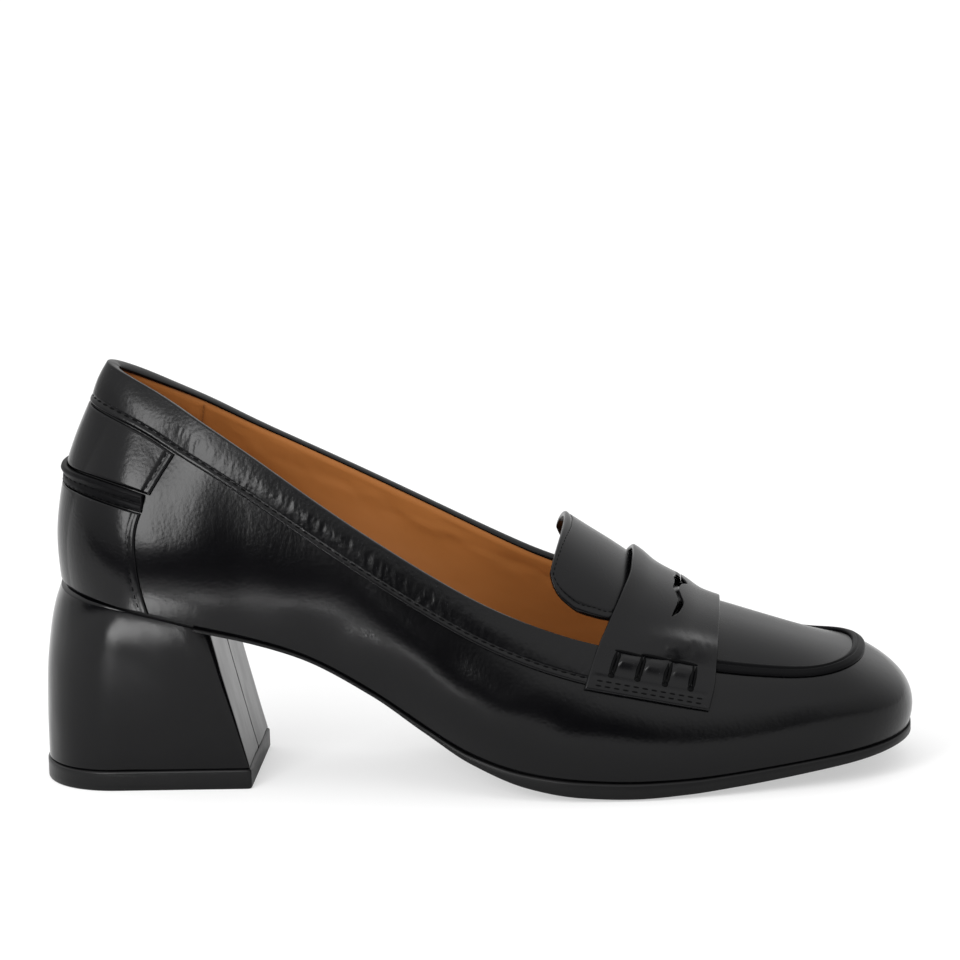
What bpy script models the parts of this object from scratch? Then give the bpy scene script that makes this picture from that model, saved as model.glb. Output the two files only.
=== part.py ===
"""Loafer pump, right shoe, on a wrapped block heel.

Every size below is in millimetres and becomes metres when a mesh is made.
X runs from the heel to the toe, Z is up, and the outer side of the foot is at -Y.
X in the tables is measured from the back of the heel; the origin lies at the
middle of the heel's resting face, HEEL_CENTRE further forward.
"""

import math
from collections import namedtuple

import bmesh
import bpy
import numpy as np
from mathutils import Vector
from mathutils.bvhtree import BVHTree

MM = 0.001
OUTER, INNER = -1.0, 1.0

# Driving sizes of the shoe.
SOLE_BACK = 9.0
TOE_TIP = 250.2
COLLAR_BACK = 24.4
APRON_FRONT = 236.4
HEEL_CENTRE = 32.0
HEEL_CAP = 26.0
TOE_CAP = 27.0
COLLAR_CAP = 30.0
APRON_CAP = 16.0
WALL = 1.9
GAP = 0.32
THROAT = 0.66
TREE_START = 0.58
APRON_CORNER = 0.92

# The stations round each side, in stretches between shares of its way.
Stretch = namedtuple("Stretch", "first last steps")
STRETCHES = [
    Stretch(0.0, 0.16, 9), Stretch(0.16, THROAT, 15), Stretch(THROAT, APRON_CORNER, 10),
    Stretch(APRON_CORNER, 1.0, 6),
]
STATIONS = [0.0] + [s.first + (s.last - s.first) * k / s.steps
                    for s in STRETCHES for k in range(1, s.steps + 1)]
STEPS_UP = 10

Edge = namedtuple("Edge", "x outer inner height")
FEATHER = [
    Edge(9.0, 25.5, 25.5, 58.2),
    Edge(20.7, 26.3, 26.5, 56.8),
    Edge(35.5, 28.0, 27.8, 53.4),
    Edge(48.4, 27.8, 27.2, 49.8),
    Edge(62.0, 27.0, 25.2, 46.4),
    Edge(78.3, 26.4, 22.8, 41.0),
    Edge(98.4, 27.6, 22.0, 30.0),
    Edge(112.8, 30.4, 23.8, 20.4),
    Edge(126.0, 34.2, 27.2, 12.8),
    Edge(141.9, 37.9, 31.6, 7.9),
    Edge(158.0, 39.7, 35.6, 5.9),
    Edge(174.0, 39.4, 38.0, 5.2),
    Edge(188.0, 37.6, 38.2, 5.4),
    Edge(201.0, 35.0, 36.4, 6.3),
    Edge(215.0, 31.6, 33.4, 7.6),
    Edge(230.0, 28.0, 30.0, 9.2),
    Edge(250.2, 25.0, 26.5, 11.0),
]

Top = namedtuple("Top", "x outer inner outer_height inner_height")
TOPLINE = [
    Top(24.4, 11.0, 11.0, 121.4, 121.4),
    Top(37.8, 11.8, 12.4, 114.8, 114.0),
    Top(51.6, 17.0, 17.2, 106.9, 105.6),
    Top(65.2, 21.0, 21.0, 98.2, 97.2),
    Top(78.7, 24.2, 24.2, 88.8, 89.6),
    Top(92.1, 26.8, 26.8, 79.6, 82.2),
    Top(105.5, 28.9, 28.8, 70.9, 74.8),
    Top(118.9, 30.6, 30.4, 62.6, 67.4),
    Top(132.3, 31.8, 31.4, 55.1, 60.2),
    Top(145.7, 32.1, 31.6, 49.1, 53.8),
    Top(160.0, 31.5, 30.8, 44.0, 49.0),
    Top(175.0, 29.4, 27.8, 40.1, 44.8),
    Top(190.0, 27.0, 24.2, 36.6, 41.0),
    Top(207.0, 24.8, 21.4, 33.6, 36.0),
    Top(221.0, 23.4, 20.0, 32.4, 32.7),
    Top(236.4, 22.0, 19.0, 33.8, 33.8),
]

# How the wall rises: its angle to upright at the sole and at the top, in degrees,
# at a share of the way round each side, the share of the top edge it meets, and
# how long it holds the top angle.
Rise = namedtuple("Rise", "way top_way flare_outer flare_inner lean hold")
RISE = [
    Rise(0.00, 0.000, 7.0, 7.0, 28.0, 0.34),
    Rise(0.10, 0.060, 10.0, 10.0, 26.0, 0.34),
    Rise(0.20, 0.140, 14.0, 13.0, 20.0, 0.34),
    Rise(0.34, 0.275, 18.0, 10.0, 15.0, 0.34),
    Rise(0.48, 0.425, 24.0, 14.0, 15.0, 0.34),
    Rise(0.64, 0.620, 24.0, 24.0, 36.0, 0.34),
    Rise(0.76, 0.750, 22.0, 24.0, 52.0, 0.36),
    Rise(0.88, 0.875, 21.0, 21.0, 60.0, 0.43),
    Rise(1.00, 1.000, 22.0, 22.0, 60.0, 0.50),
]
START_HOLD = 0.42

# Crest of the apron and the throat, from the tongue's root to the toe.
Crest = namedtuple("Crest", "x height")
APRON_CREST = [
    Crest(145.0, 65.0), Crest(165.0, 57.4), Crest(172.0, 55.0), Crest(181.0, 51.2), Crest(191.0, 46.8),
    Crest(199.6, 44.4), Crest(213.8, 40.2), Crest(228.0, 36.2), Crest(236.4, 33.8),
]

# Collar band, seen in section: how far it reaches down outside and inside.
BAND_DROP = 12.4
BAND_INSIDE = 2.6
BAND_THICK = 0.9
BAND_PUFF = 0.5
BAND_END = 0.622
BAND_SLANT_START = 0.54
BAND_SLANT = 0.0013

# Heel counter: its front edge by height, and the ridge between its two panels.
Front = namedtuple("Front", "height way")
COUNTER_FRONT = [
    Front(48.0, 0.158), Front(53.8, 0.154), Front(59.3, 0.149), Front(67.5, 0.143), Front(78.7, 0.138),
    Front(85.1, 0.143), Front(92.0, 0.155), Front(100.2, 0.174), Front(106.0, 0.19),
]
COUNTER_THICK = 0.8
COUNTER_ROWS = 5
Ridge = namedtuple("Ridge", "way low high")
RIDGE = [Ridge(0.0, 87.4, 92.2), Ridge(0.06, 86.9, 91.8), Ridge(0.12, 84.4, 89.4), Ridge(0.16, 82.0, 86.6)]
RIDGE_HEIGHT = 84.5
RIDGE_THICK = 2.3

SEAM_WIDTH, SEAM_THICK = 1.9, 1.2
SEAM_START = 0.786

# Saddle strap: where its rear and front edges lie at a share of the way across,
# the angle round the instep of each edge, and how far the strap is lifted over the tongue.
Strap = namedtuple("Strap", "across rear front rear_angle front_angle lift")
SADDLE = [
    Strap(-1.0, 158.8, 193.8, -55.0, -61.5, 0.0),
    Strap(-0.8, 161.6, 195.8, -44.0, -49.2, 0.3),
    Strap(-0.6, 165.4, 196.2, -33.0, -36.9, 2.2),
    Strap(-0.4, 169.2, 196.6, -22.0, -24.6, 4.6),
    Strap(-0.2, 171.6, 196.7, -11.0, -12.3, 5.8),
    Strap(0.0, 171.8, 196.5, 0.0, 0.0, 6.2),
    Strap(0.2, 171.2, 196.2, 11.0, 12.3, 6.0),
    Strap(0.4, 169.0, 195.9, 22.0, 24.6, 4.8),
    Strap(0.6, 165.6, 195.4, 33.0, 36.9, 2.4),
    Strap(0.8, 162.4, 194.6, 44.0, 49.2, 0.3),
    Strap(1.0, 160.2, 192.8, 55.0, 61.5, 0.0),
]
Lift = namedtuple("Lift", "along share")
SADDLE_LIFT = [Lift(0.0, 1.0), Lift(0.10, 0.86), Lift(0.24, 0.56), Lift(0.40, 0.44), Lift(0.56, 0.38),
               Lift(0.78, 0.06), Lift(1.0, 0.0)]
SADDLE_THICK = 1.4
SADDLE_AXIS = 4.0
SADDLE_CENTRE = 1.5
SADDLE_ACROSS, SADDLE_ALONG = 26, 8
Slot = namedtuple("Slot", "y x half")
SLOT = [
    Slot(-19.0, 183.6, 0.10), Slot(-16.0, 185.0, 0.75), Slot(-11.5, 186.0, 0.85), Slot(-5.0, 184.6, 0.85),
    Slot(-1.0, 185.2, 0.45), Slot(3.0, 186.0, 2.5), Slot(7.0, 185.2, 0.45), Slot(11.0, 184.6, 0.85),
    Slot(17.5, 186.0, 0.85), Slot(22.0, 185.0, 0.75), Slot(25.0, 183.6, 0.10),
]

# Tongue: its crest, its half width and depth as an arch, its spread, and how far
# its sides lie back, from root to tip.
Tongue = namedtuple("Tongue", "x crest half_width depth spread back")
TONGUE = [
    Tongue(183.0, 51.8, 26.6, 12.0, 34.0, 0.0), Tongue(179.0, 53.7, 26.6, 13.0, 40.0, 0.0),
    Tongue(174.5, 57.2, 26.6, 15.0, 52.0, 0.0), Tongue(170.0, 60.8, 26.8, 16.0, 68.0, 0.4),
    Tongue(164.5, 64.9, 26.8, 16.5, 80.0, 1.2), Tongue(160.0, 68.0, 26.8, 16.5, 84.0, 2.2),
    Tongue(156.5, 70.5, 26.6, 16.0, 82.0, 3.2), Tongue(154.2, 72.2, 26.4, 16.0, 74.0, 4.0),
    Tongue(152.8, 73.2, 26.2, 16.0, 62.0, 4.4),
]
TONGUE_THICK = 1.6
TONGUE_ACROSS = 18
TONGUE_CENTRE = 0.8
TONGUE_TILT = 0.05
TONGUE_CLEAR = 0.45

# Outsole: its thickness from the heel breast to the toe.
Sole = namedtuple("Sole", "x thick")
OUTSOLE = [
    Sole(54.0, 1.8), Sole(98.0, 2.0), Sole(117.0, 2.6), Sole(128.7, 3.4), Sole(140.0, 4.5),
    Sole(151.0, 5.2), Sole(164.0, 5.4), Sole(177.0, 5.2), Sole(191.0, 4.7), Sole(213.0, 4.3),
    Sole(236.0, 3.6), Sole(250.2, 2.6),
]
SOLE_START = 0.2
SOLE_ACROSS = 8
SOLE_EDGE = 0.5
SOLE_ROUND = 0.9
SOLE_TIP = 9.0
INSOLE_THICK = 2.0
INSOLE_LIFT = 1.0
INSOLE_INSET = 2.6
INSOLE_ACROSS = 6

# Heel: its outline at shares of the height from the top piece to the seat.
HeelLevel = namedtuple("HeelLevel", "share back breast outer inner corner")
HEEL = [
    HeelLevel(0.00, 2.4, 62.9, 21.2, 21.2, 1.2),
    HeelLevel(0.22, 2.4, 60.6, 21.9, 21.8, 2.2),
    HeelLevel(0.48, 2.9, 58.0, 23.2, 22.8, 3.8),
    HeelLevel(0.72, 4.4, 55.6, 24.9, 24.2, 5.6),
    HeelLevel(0.90, 6.2, 53.9, 26.5, 25.8, 7.4),
    HeelLevel(1.00, 7.7, 53.2, 27.4, 26.8, 8.4),
]
HEEL_SKEW = 0.045
HEEL_BACK_CAP = 22.0
HEEL_SIDE_STEPS, HEEL_CORNER_STEPS, HEEL_BREAST_STEPS = 12, 3, 4
TOP_PIECE = 5.8
TOP_PIECE_BEVEL = 0.5
TOP_PIECE_EDGE = 0.5


def monotone(xs, ys, x):
    """Value at x of the smooth curve through the points, with no overshoot."""
    xs, ys = np.asarray(xs, float), np.asarray(ys, float)
    step = np.diff(xs)
    slope = np.diff(ys) / step
    tangent = np.zeros_like(ys)
    tangent[0], tangent[-1] = slope[0], slope[-1]
    for i in range(1, len(xs) - 1):
        if slope[i - 1] * slope[i] > 0.0:
            w0, w1 = 2 * step[i] + step[i - 1], step[i] + 2 * step[i - 1]
            tangent[i] = (w0 + w1) / (w0 / slope[i - 1] + w1 / slope[i])
    x = np.clip(x, xs[0], xs[-1])
    k = np.clip(np.searchsorted(xs, x, side="right") - 1, 0, len(xs) - 2)
    t = (x - xs[k]) / step[k]
    a, b = 2 * t**3 - 3 * t**2 + 1, t**3 - 2 * t**2 + t
    c, d = -2 * t**3 + 3 * t**2, t**3 - t**2
    return a * ys[k] + b * step[k] * tangent[k] + c * ys[k + 1] + d * step[k] * tangent[k + 1]


def column(rows, name, at):
    """Smooth value of a named column of a table, where its first column is at."""
    first = rows[0]._fields[0]
    pairs = sorted((getattr(row, first), getattr(row, name)) for row in rows)
    return monotone([p[0] for p in pairs], [p[1] for p in pairs], at)


def cap(distance, reach, power):
    """Share of the full width near a rounded end, distance away from its tip."""
    t = np.clip(distance / reach, 0.0, 1.0)
    return (1.0 - (1.0 - t) ** power) ** (1.0 / power)


class Half:
    """One side of a closed outline, from its back to its front, by share of its length."""

    def __init__(self, side, back, front, width, height, back_cap, front_cap):
        t = np.linspace(0.0, math.pi, 700)
        x = back + (front - back) * (1.0 - np.cos(t)) / 2.0
        y = side * width(x) * cap(x - back, *back_cap) * cap(front - x, *front_cap)
        z = height(x)
        self.points = np.stack([x, y, z], axis=1)
        run = np.hypot(np.diff(x), np.diff(y))
        self.way = np.concatenate([[0.0], np.cumsum(run)])
        self.length = self.way[-1]
        self.way /= self.length
        self.side = side

    def at(self, way):
        return np.array([np.interp(way, self.way, self.points[:, k]) for k in range(3)])

    def outward(self, way):
        ahead = self.at(min(way + 0.004, 1.0)) - self.at(max(way - 0.004, 0.0))
        if way < 0.004:
            return np.array([-1.0, 0.0, 0.0])
        if way > 0.996:
            return np.array([1.0, 0.0, 0.0])
        normal = np.array([-ahead[1], ahead[0], 0.0]) * self.side
        return normal / np.linalg.norm(normal)


def feather_half(side, inset=0.0, lift=0.0):
    """The edge where the upper meets the sole, or one inset from it and lifted."""
    name = "outer" if side == OUTER else "inner"
    return Half(side, SOLE_BACK + inset, TOE_TIP - inset,
                lambda x: column(FEATHER, name, x) - inset,
                lambda x: column(FEATHER, "height", x) + lift,
                (HEEL_CAP, 2.1), (TOE_CAP, 2.35))


def topline_half(side):
    name = "outer" if side == OUTER else "inner"
    return Half(side, COLLAR_BACK, APRON_FRONT,
                lambda x: column(TOPLINE, name, x),
                lambda x: column(TOPLINE, name + "_height", x),
                (COLLAR_CAP, 2.0), (APRON_CAP, 2.6))


class Last:
    """The outside of the upper: a wall from the sole's edge to the collar and apron seam."""

    def __init__(self):
        self.low = {side: feather_half(side) for side in (OUTER, INNER)}
        self.high = {side: topline_half(side) for side in (OUTER, INNER)}

    def rib(self, w):
        """Four handles of the wall's rising curve; w is -1..1, outer side negative."""
        side = OUTER if w < 0.0 else INNER
        way = abs(w)
        low, high = self.low[side], self.high[side]
        top_way = column(RISE, "top_way", way)
        start, end = low.at(way), high.at(top_way)
        flare = math.radians(column(RISE, "flare_outer" if side == OUTER else "flare_inner", way))
        lean, hold = math.radians(column(RISE, "lean", way)), column(RISE, "hold", way)
        reach = np.linalg.norm(end - start)
        up = np.array([0.0, 0.0, 1.0])
        rise = up * math.cos(flare) + low.outward(way) * math.sin(flare)
        arrive = up * math.cos(lean) - high.outward(top_way) * math.sin(lean)
        return start, start + rise * reach * START_HOLD, end - arrive * reach * hold, end

    def wall(self, w, v):
        """A point of the wall, v from 0 at the sole to 1 at the top."""
        a, b, c, d = self.rib(w)
        u = 1.0 - v
        return a * u**3 + b * 3 * u * u * v + c * 3 * u * v * v + d * v**3

    def rise(self, w):
        """The wall's rising line: v, its points and the length along it."""
        v = np.linspace(0.0, 1.0, 41)
        points = np.array([self.wall(w, k) for k in v])
        run = np.concatenate([[0.0], np.cumsum(np.linalg.norm(np.diff(points, axis=0), axis=1))])
        return v, points, run

    def share_below_top(self, w, drop):
        """The v that lies a length below the wall's top edge."""
        v, _, run = self.rise(w)
        return float(np.interp(run[-1] - drop, run, v))

    def share_at_height(self, w, height):
        """The v where the wall reaches a height above the floor."""
        v, points, _ = self.rise(w)
        return float(np.interp(height, points[:, 2], v))

    def normal(self, w, v):
        d = 0.004
        along = self.wall(min(w + d, 1.0), v) - self.wall(max(w - d, -1.0), v)
        if abs(w) > 1.0 - d:
            along = self.wall(-1.0 + d, v) - self.wall(1.0 - d, v)
        rising = self.wall(w, min(v + 0.02, 1.0)) - self.wall(w, max(v - 0.02, 0.0))
        normal = np.cross(rising, along)
        return normal / np.linalg.norm(normal)

    def proud(self, w, v, out):
        """A point that stands off the wall by a length."""
        return self.wall(w, v) + self.normal(w, v) * out

    def apron(self, way, across):
        """A point of the apron, stretched between its seams and domed to its crest."""
        along = (way - THROAT) / (APRON_CORNER - THROAT)
        point = self.stretched(way, along, across)
        middle = self.stretched(way, along, 0.0)
        rise = column(APRON_CREST, "height", middle[0]) - middle[2]
        point[2] += rise * (1.0 - abs(across) ** 2.2)
        return point

    def stretched(self, way, along, across):
        half = (across + 1.0) / 2.0
        throat = self.seam(-THROAT) * (1 - half) + self.seam(THROAT) * half
        corners = self.seam(-APRON_CORNER) * (1 - half) + self.seam(APRON_CORNER) * half
        sides = self.seam(-way) * (1 - half) + self.seam(way) * half
        ends = throat * (1 - along) + self.seam_front(half) * along
        return sides + ends - throat * (1 - along) - corners * along

    def seam(self, w):
        side = OUTER if w < 0.0 else INNER
        return self.high[side].at(column(RISE, "top_way", abs(w)))

    def seam_front(self, half):
        """A point of the apron's front edge, half 0..1 from its outer to its inner corner."""
        w = -APRON_CORNER - half * 2.0 * (1.0 - APRON_CORNER)
        return self.seam(w if w >= -1.0 else 2.0 + w)


LAST = Last()


def clear_scene():
    for item in list(bpy.data.objects):
        bpy.data.objects.remove(item, do_unlink=True)


def collection(name):
    group = bpy.data.collections.new(name)
    bpy.context.scene.collection.children.link(group)
    return group


def material(name, colour, rough, metal=0.0, coat=0.0):
    made = bpy.data.materials.new(name)
    made.use_nodes = True
    shader = made.node_tree.nodes["Principled BSDF"]
    shader.inputs["Base Color"].default_value = (*colour, 1.0)
    shader.inputs["Roughness"].default_value = rough
    shader.inputs["Metallic"].default_value = metal
    shader.inputs["Coat Weight"].default_value = coat
    return made


def place(point):
    return ((point[0] - HEEL_CENTRE) * MM, point[1] * MM, point[2] * MM)


def add_mesh(name, points, faces, group, finish, outward=True):
    """A mesh object from points in millimetres, smooth, with its faces turned out."""
    mesh = bpy.data.meshes.new(name)
    mesh.from_pydata([place(p) for p in points], [], faces)
    work = bmesh.new()
    work.from_mesh(mesh)
    bmesh.ops.remove_doubles(work, verts=work.verts, dist=0.01 * MM)
    if outward:
        bmesh.ops.recalc_face_normals(work, faces=work.faces)
    work.to_mesh(mesh)
    work.free()
    mesh.shade_smooth()
    made = bpy.data.objects.new(name, mesh)
    mesh.materials.append(finish)
    group.objects.link(made)
    return made


def grid_faces(rows, columns, closed=False, start=0):
    """Quads of a grid whose points are listed row by row."""
    faces = []
    last = columns if closed else columns - 1
    for r in range(rows - 1):
        for c in range(last):
            d = (c + 1) % columns
            a = start + r * columns
            faces.append((a + c, a + d, a + columns + d, a + columns + c))
    return faces


def solidify(item, thick, offset):
    shell = item.modifiers.new("Thickness", "SOLIDIFY")
    shell.thickness = thick * MM
    shell.offset = offset
    shell.use_even_offset = True
    shell.use_quality_normals = True
    return shell


def panel(name, rows, thick, group, finish):
    """A piece of leather: a sheet through rows of points, thickened away from the foot."""
    columns = len(rows[0])
    points = [p for row in rows for p in row]
    made = add_mesh(name, points, grid_faces(len(rows), columns), group, finish, outward=False)
    turn_outward(made)
    solidify(made, thick, 1.0)
    return made


def turn_outward(item):
    """Turn an open sheet's faces away from the middle of the shoe."""
    mesh = item.data
    middle = sum((v.co for v in mesh.vertices), Vector()) / len(mesh.vertices)
    inside = Vector((middle.x, 0.0, min(middle.z, 0.03)))
    facing = sum((f.normal.dot(f.center - inside) * f.area for f in mesh.polygons))
    if facing < 0.0:
        mesh.flip_normals()


def swept(name, sections, group, finish):
    """A closed solid through closed sections, with flat ends."""
    count = len(sections[0])
    points = [p for section in sections for p in section]
    faces = grid_faces(len(sections), count, closed=True)
    faces.append(tuple(range(count)))
    faces.append(tuple(range(len(points) - 1, len(points) - count - 1, -1)))
    return add_mesh(name, points, faces, group, finish)


def ways_between(first, last):
    """The stations from one way to another, as shares of the way round a side."""
    return [w for w in STATIONS if first - 1e-6 <= w <= last + 1e-6]


def loop_ways():
    """Every station of the closed loop, from the outer toe over the heel to the inner toe."""
    return [-w for w in reversed(STATIONS[1:])] + STATIONS[:-1]


def make_upper(group, finish):
    """The hollow upper: wall and apron as one sheet, thickened inwards."""
    ways = loop_ways()
    points, faces = [], []
    for r in range(STEPS_UP + 1):
        points += [LAST.wall(w, r / STEPS_UP) for w in ways]
    faces += grid_faces(STEPS_UP + 1, len(ways), closed=True)
    rows = apron_rows()
    start = len(points)
    points += [p for row in rows for p in row]
    faces += grid_faces(len(rows), len(rows[0]), start=start)
    made = add_mesh("upper", points, faces, group, finish)
    turn_outward(made)
    solidify(made, WALL, -1.0)
    return made


def apron_rows(first=THROAT):
    """Rows of the apron, its edges on the wall's own top points."""
    front = len(ways_between(APRON_CORNER, 1.0)) - 1
    spread = [k / front - 1.0 for k in range(2 * front + 1)]
    return [[LAST.apron(way, across) for across in spread] for way in ways_between(first, APRON_CORNER)]


def band_section(w):
    """Closed section of the collar band, over the top and back, slanted where it meets the saddle."""
    top, out = LAST.wall(w, 1.0), LAST.normal(w, 1.0)
    side = out * np.array([1.0, 1.0, 0.0])
    side /= np.linalg.norm(side)
    up = np.array([0.0, 0.0, 1.0])
    face = GAP + BAND_THICK
    late = max(0.0, (abs(w) - BAND_SLANT_START) / (BAND_END - BAND_SLANT_START))

    def outside(drop, distance):
        back = w - math.copysign(BAND_SLANT * drop * late, w)
        return LAST.proud(back, LAST.share_below_top(back, drop), distance)

    inner = -(WALL + GAP)
    below = top - up * BAND_INSIDE
    return [
        outside(BAND_DROP, face), outside(BAND_DROP * 0.72, face + BAND_PUFF * 0.8),
        outside(BAND_DROP * 0.45, face + BAND_PUFF), outside(BAND_DROP * 0.2, face + BAND_PUFF * 0.6),
        top + side * face * 0.85 + up * 0.5, top - side * WALL * 0.5 + up * face,
        top + side * (inner - BAND_THICK * 0.85) + up * 0.4, below + side * (inner - BAND_THICK),
        below + side * inner, top + side * inner + up * GAP, top + side * GAP + up * GAP,
        outside(BAND_DROP * 0.45, GAP), outside(BAND_DROP * 0.72, GAP), outside(BAND_DROP, GAP),
    ]


def loop_between(way):
    """Stations over the heel from the outer side to the inner side, as far as a way."""
    inner = ways_between(0.0, way - 1e-3) + [way]
    return [-w for w in reversed(inner[1:])] + inner


def make_band(group, finish):
    sections = [band_section(w) for w in loop_between(BAND_END)]
    return swept("collar_band", sections, group, finish)


def counter_way(height):
    return column(COUNTER_FRONT, "way", height)


def ridge_share(w, name, beyond=0.0):
    """The v of the ridge's lower or upper edge, a length beyond it."""
    return LAST.share_at_height(w, column(RIDGE, name, abs(w)) + beyond)


def counter_panel(name, low, high, group, finish):
    """A counter panel between two edges, wrapped round the heel."""
    steps = 2 * (len(ways_between(0.0, 0.19)) - 1)
    rows = []
    for r in range(COUNTER_ROWS + 1):
        share = r / COUNTER_ROWS
        row = []
        for k in range(steps + 1):
            side = 2.0 * k / steps - 1.0
            way = 0.18
            for _ in range(4):
                v = low(side * way) * (1 - share) + high(side * way) * share
                way = counter_way(LAST.wall(math.copysign(way, side), v)[2])
            w = side * way
            v = low(w) * (1 - share) + high(w) * share
            row.append(LAST.proud(w, v, GAP))
        rows.append(row)
    return panel(name, rows, COUNTER_THICK, group, finish)


def make_counter(group, finish):
    counter_panel("counter_lower", lambda w: 0.01, lambda w: ridge_share(w, "low", -GAP), group, finish)
    counter_panel("counter_upper", lambda w: ridge_share(w, "high", GAP),
                  lambda w: LAST.share_below_top(w, BAND_DROP + GAP), group, finish)
    sections = [ridge_section(w) for w in loop_between(counter_way(RIDGE_HEIGHT))]
    swept("counter_ridge", sections, group, finish)


def ridge_section(w):
    low, high = ridge_share(w, "low"), ridge_share(w, "high")
    bulge = [0.40, 0.80, 1.0, 0.80, 0.35]
    outer = [LAST.proud(w, low + (high - low) * k / 4, GAP + RIDGE_THICK * bulge[k]) for k in range(5)]
    inner = [LAST.proud(w, high + (low - high) * k / 2, GAP) for k in range(3)]
    return outer + inner


def upper_tree():
    """The outside of the last as a tree for rays, in millimetres, closed a little behind the throat."""
    ways = loop_ways()
    points = [LAST.wall(w, r / STEPS_UP) for r in range(STEPS_UP + 1) for w in ways]
    faces = grid_faces(STEPS_UP + 1, len(ways), closed=True)
    rows = apron_rows(TREE_START)
    faces += grid_faces(len(rows), len(rows[0]), start=len(points))
    points += [p for row in rows for p in row]
    return BVHTree.FromPolygons([tuple(p) for p in points], faces)


def on_upper(tree, start, towards):
    """Where a ray first meets the upper's outside, and the normal there, away from the start."""
    hit, normal, _, _ = tree.ray_cast(Vector(start), Vector(towards))
    if normal.dot(Vector(towards)) < 0.0:
        normal = -normal
    return np.array(hit), np.array(normal)


def from_above(tree, x, y):
    hit, normal, _, _ = tree.ray_cast(Vector((x, y, 200.0)), Vector((0.0, 0.0, -1.0)))
    return np.array(hit), np.array(normal if normal.z > 0.0 else -normal)


def seam_section(tree, w):
    """Section of the raised apron seam: its wall side, ridge and apron side."""
    ridge = LAST.seam(w)
    down = LAST.share_below_top(w, SEAM_WIDTH)
    wall_side, wall_out = LAST.wall(w, down), LAST.normal(w, down)
    side = OUTER if w < 0.0 else INNER
    inward = -LAST.high[side].outward(column(RISE, "top_way", abs(w)))
    x, y, _ = ridge + inward * SEAM_WIDTH
    apron_side, apron_out = from_above(tree, x, y)
    over = wall_out + apron_out
    over /= np.linalg.norm(over)
    edge, face = GAP + 0.35, GAP + SEAM_THICK
    return [
        wall_side + wall_out * edge, (wall_side + ridge) / 2 + (wall_out + over) / 2 * face,
        ridge + over * (face - 0.25), (apron_side + ridge) / 2 + (apron_out + over) / 2 * face,
        apron_side + apron_out * edge, apron_side + apron_out * GAP, ridge + over * GAP,
        wall_side + wall_out * GAP,
    ]


def make_apron_seam(tree, group, finish):
    ways = [SEAM_START] + [w for w in STATIONS if SEAM_START + 0.01 < w]
    loop = [-w for w in ways] + [w for w in reversed(ways[:-1])]
    swept("apron_seam", [seam_section(tree, w) for w in loop], group, finish)


def saddle_point(tree, across, along):
    """A point of the saddle's under side."""
    def between(first, last):
        start, end = column(SADDLE, first, across), column(SADDLE, last, across)
        return start + (end - start) * along

    turn = math.radians(between("rear_angle", "front_angle"))
    towards = (0.0, math.sin(turn), math.cos(turn))
    hit, normal = on_upper(tree, (between("rear", "front"), SADDLE_CENTRE, SADDLE_AXIS), towards)
    lift = column(SADDLE, "lift", across) * column(SADDLE_LIFT, "share", along)
    return hit + normal * GAP + np.array(towards) * lift


def make_saddle(tree, group, finish, cutters):
    rows = []
    for k in range(SADDLE_ACROSS + 1):
        across = 2.0 * k / SADDLE_ACROSS - 1.0
        rows.append([saddle_point(tree, across, c / SADDLE_ALONG) for c in range(SADDLE_ALONG + 1)])
    strap = panel("saddle", rows, SADDLE_THICK, group, finish)
    cutter = slot_cutter(cutters, finish)
    cut = strap.modifiers.new("Slot", "BOOLEAN")
    cut.operation = "DIFFERENCE"
    cut.object = cutter
    return strap


def slot_cutter(group, finish):
    """Prism of the slot's outline, deep enough to pass the strap."""
    low, high = 20.0, 80.0
    ahead = [(row.x + row.half, row.y) for row in SLOT]
    behind = [(row.x - row.half, row.y) for row in reversed(SLOT)]
    outline = ahead + behind
    sections = [[(x, y, z) for x, y in outline] for z in (low, high)]
    cutter = swept("slot_cutter", sections, group, finish)
    cutter.hide_render = True
    cutter.display_type = "WIRE"
    return cutter


def make_tongue(tree, group, finish):
    """The tongue flap, an arch in every section, kept clear of the throat beneath its root."""
    rows = []
    for row in TONGUE:
        points = []
        for k in range(TONGUE_ACROSS + 1):
            turn = math.radians(row.spread) * (2.0 * k / TONGUE_ACROSS - 1.0)
            x = row.x - row.back * math.sin(turn) ** 2
            y = TONGUE_CENTRE + (row.half_width - TONGUE_THICK) * math.sin(turn)
            arch = row.crest - TONGUE_THICK - row.depth * (1.0 - math.cos(turn)) + TONGUE_TILT * y
            below, _ = from_above(tree, x, y)
            points.append((x, y, max(arch, below[2] + TONGUE_CLEAR)))
        rows.append(points)
    return panel("tongue", rows, TONGUE_THICK, group, finish)


def sheet_rows(halves, first, last, across):
    """Rows of points across a flat piece between its two sides."""
    rows = []
    for way in ways_between(first, last):
        left, right = halves[OUTER].at(way), halves[INNER].at(way)
        rows.append([left + (right - left) * k / across for k in range(across + 1)])
    return rows


def slab(name, rows, under, group, finish):
    """A closed slab: rows of its top and the same points lowered by a thickness."""
    count = len(rows[0])
    top = [np.array(p) for row in rows for p in row]
    bottom = [under(p, (k % count) / (count - 1)) for k, p in enumerate(top)]
    faces = grid_faces(len(rows), count)
    start = len(top)
    faces += [tuple(reversed([start + i for i in f])) for f in grid_faces(len(rows), count)]
    rim = list(range(count))
    rim += [r * count + count - 1 for r in range(1, len(rows))]
    rim += [start - 1 - k for k in range(1, count)]
    rim += [r * count for r in range(len(rows) - 2, 0, -1)]
    faces += [(a, b, start + b, start + a) for a, b in zip(rim, rim[1:] + rim[:1])]
    return add_mesh(name, top + bottom, faces, group, finish)


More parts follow.
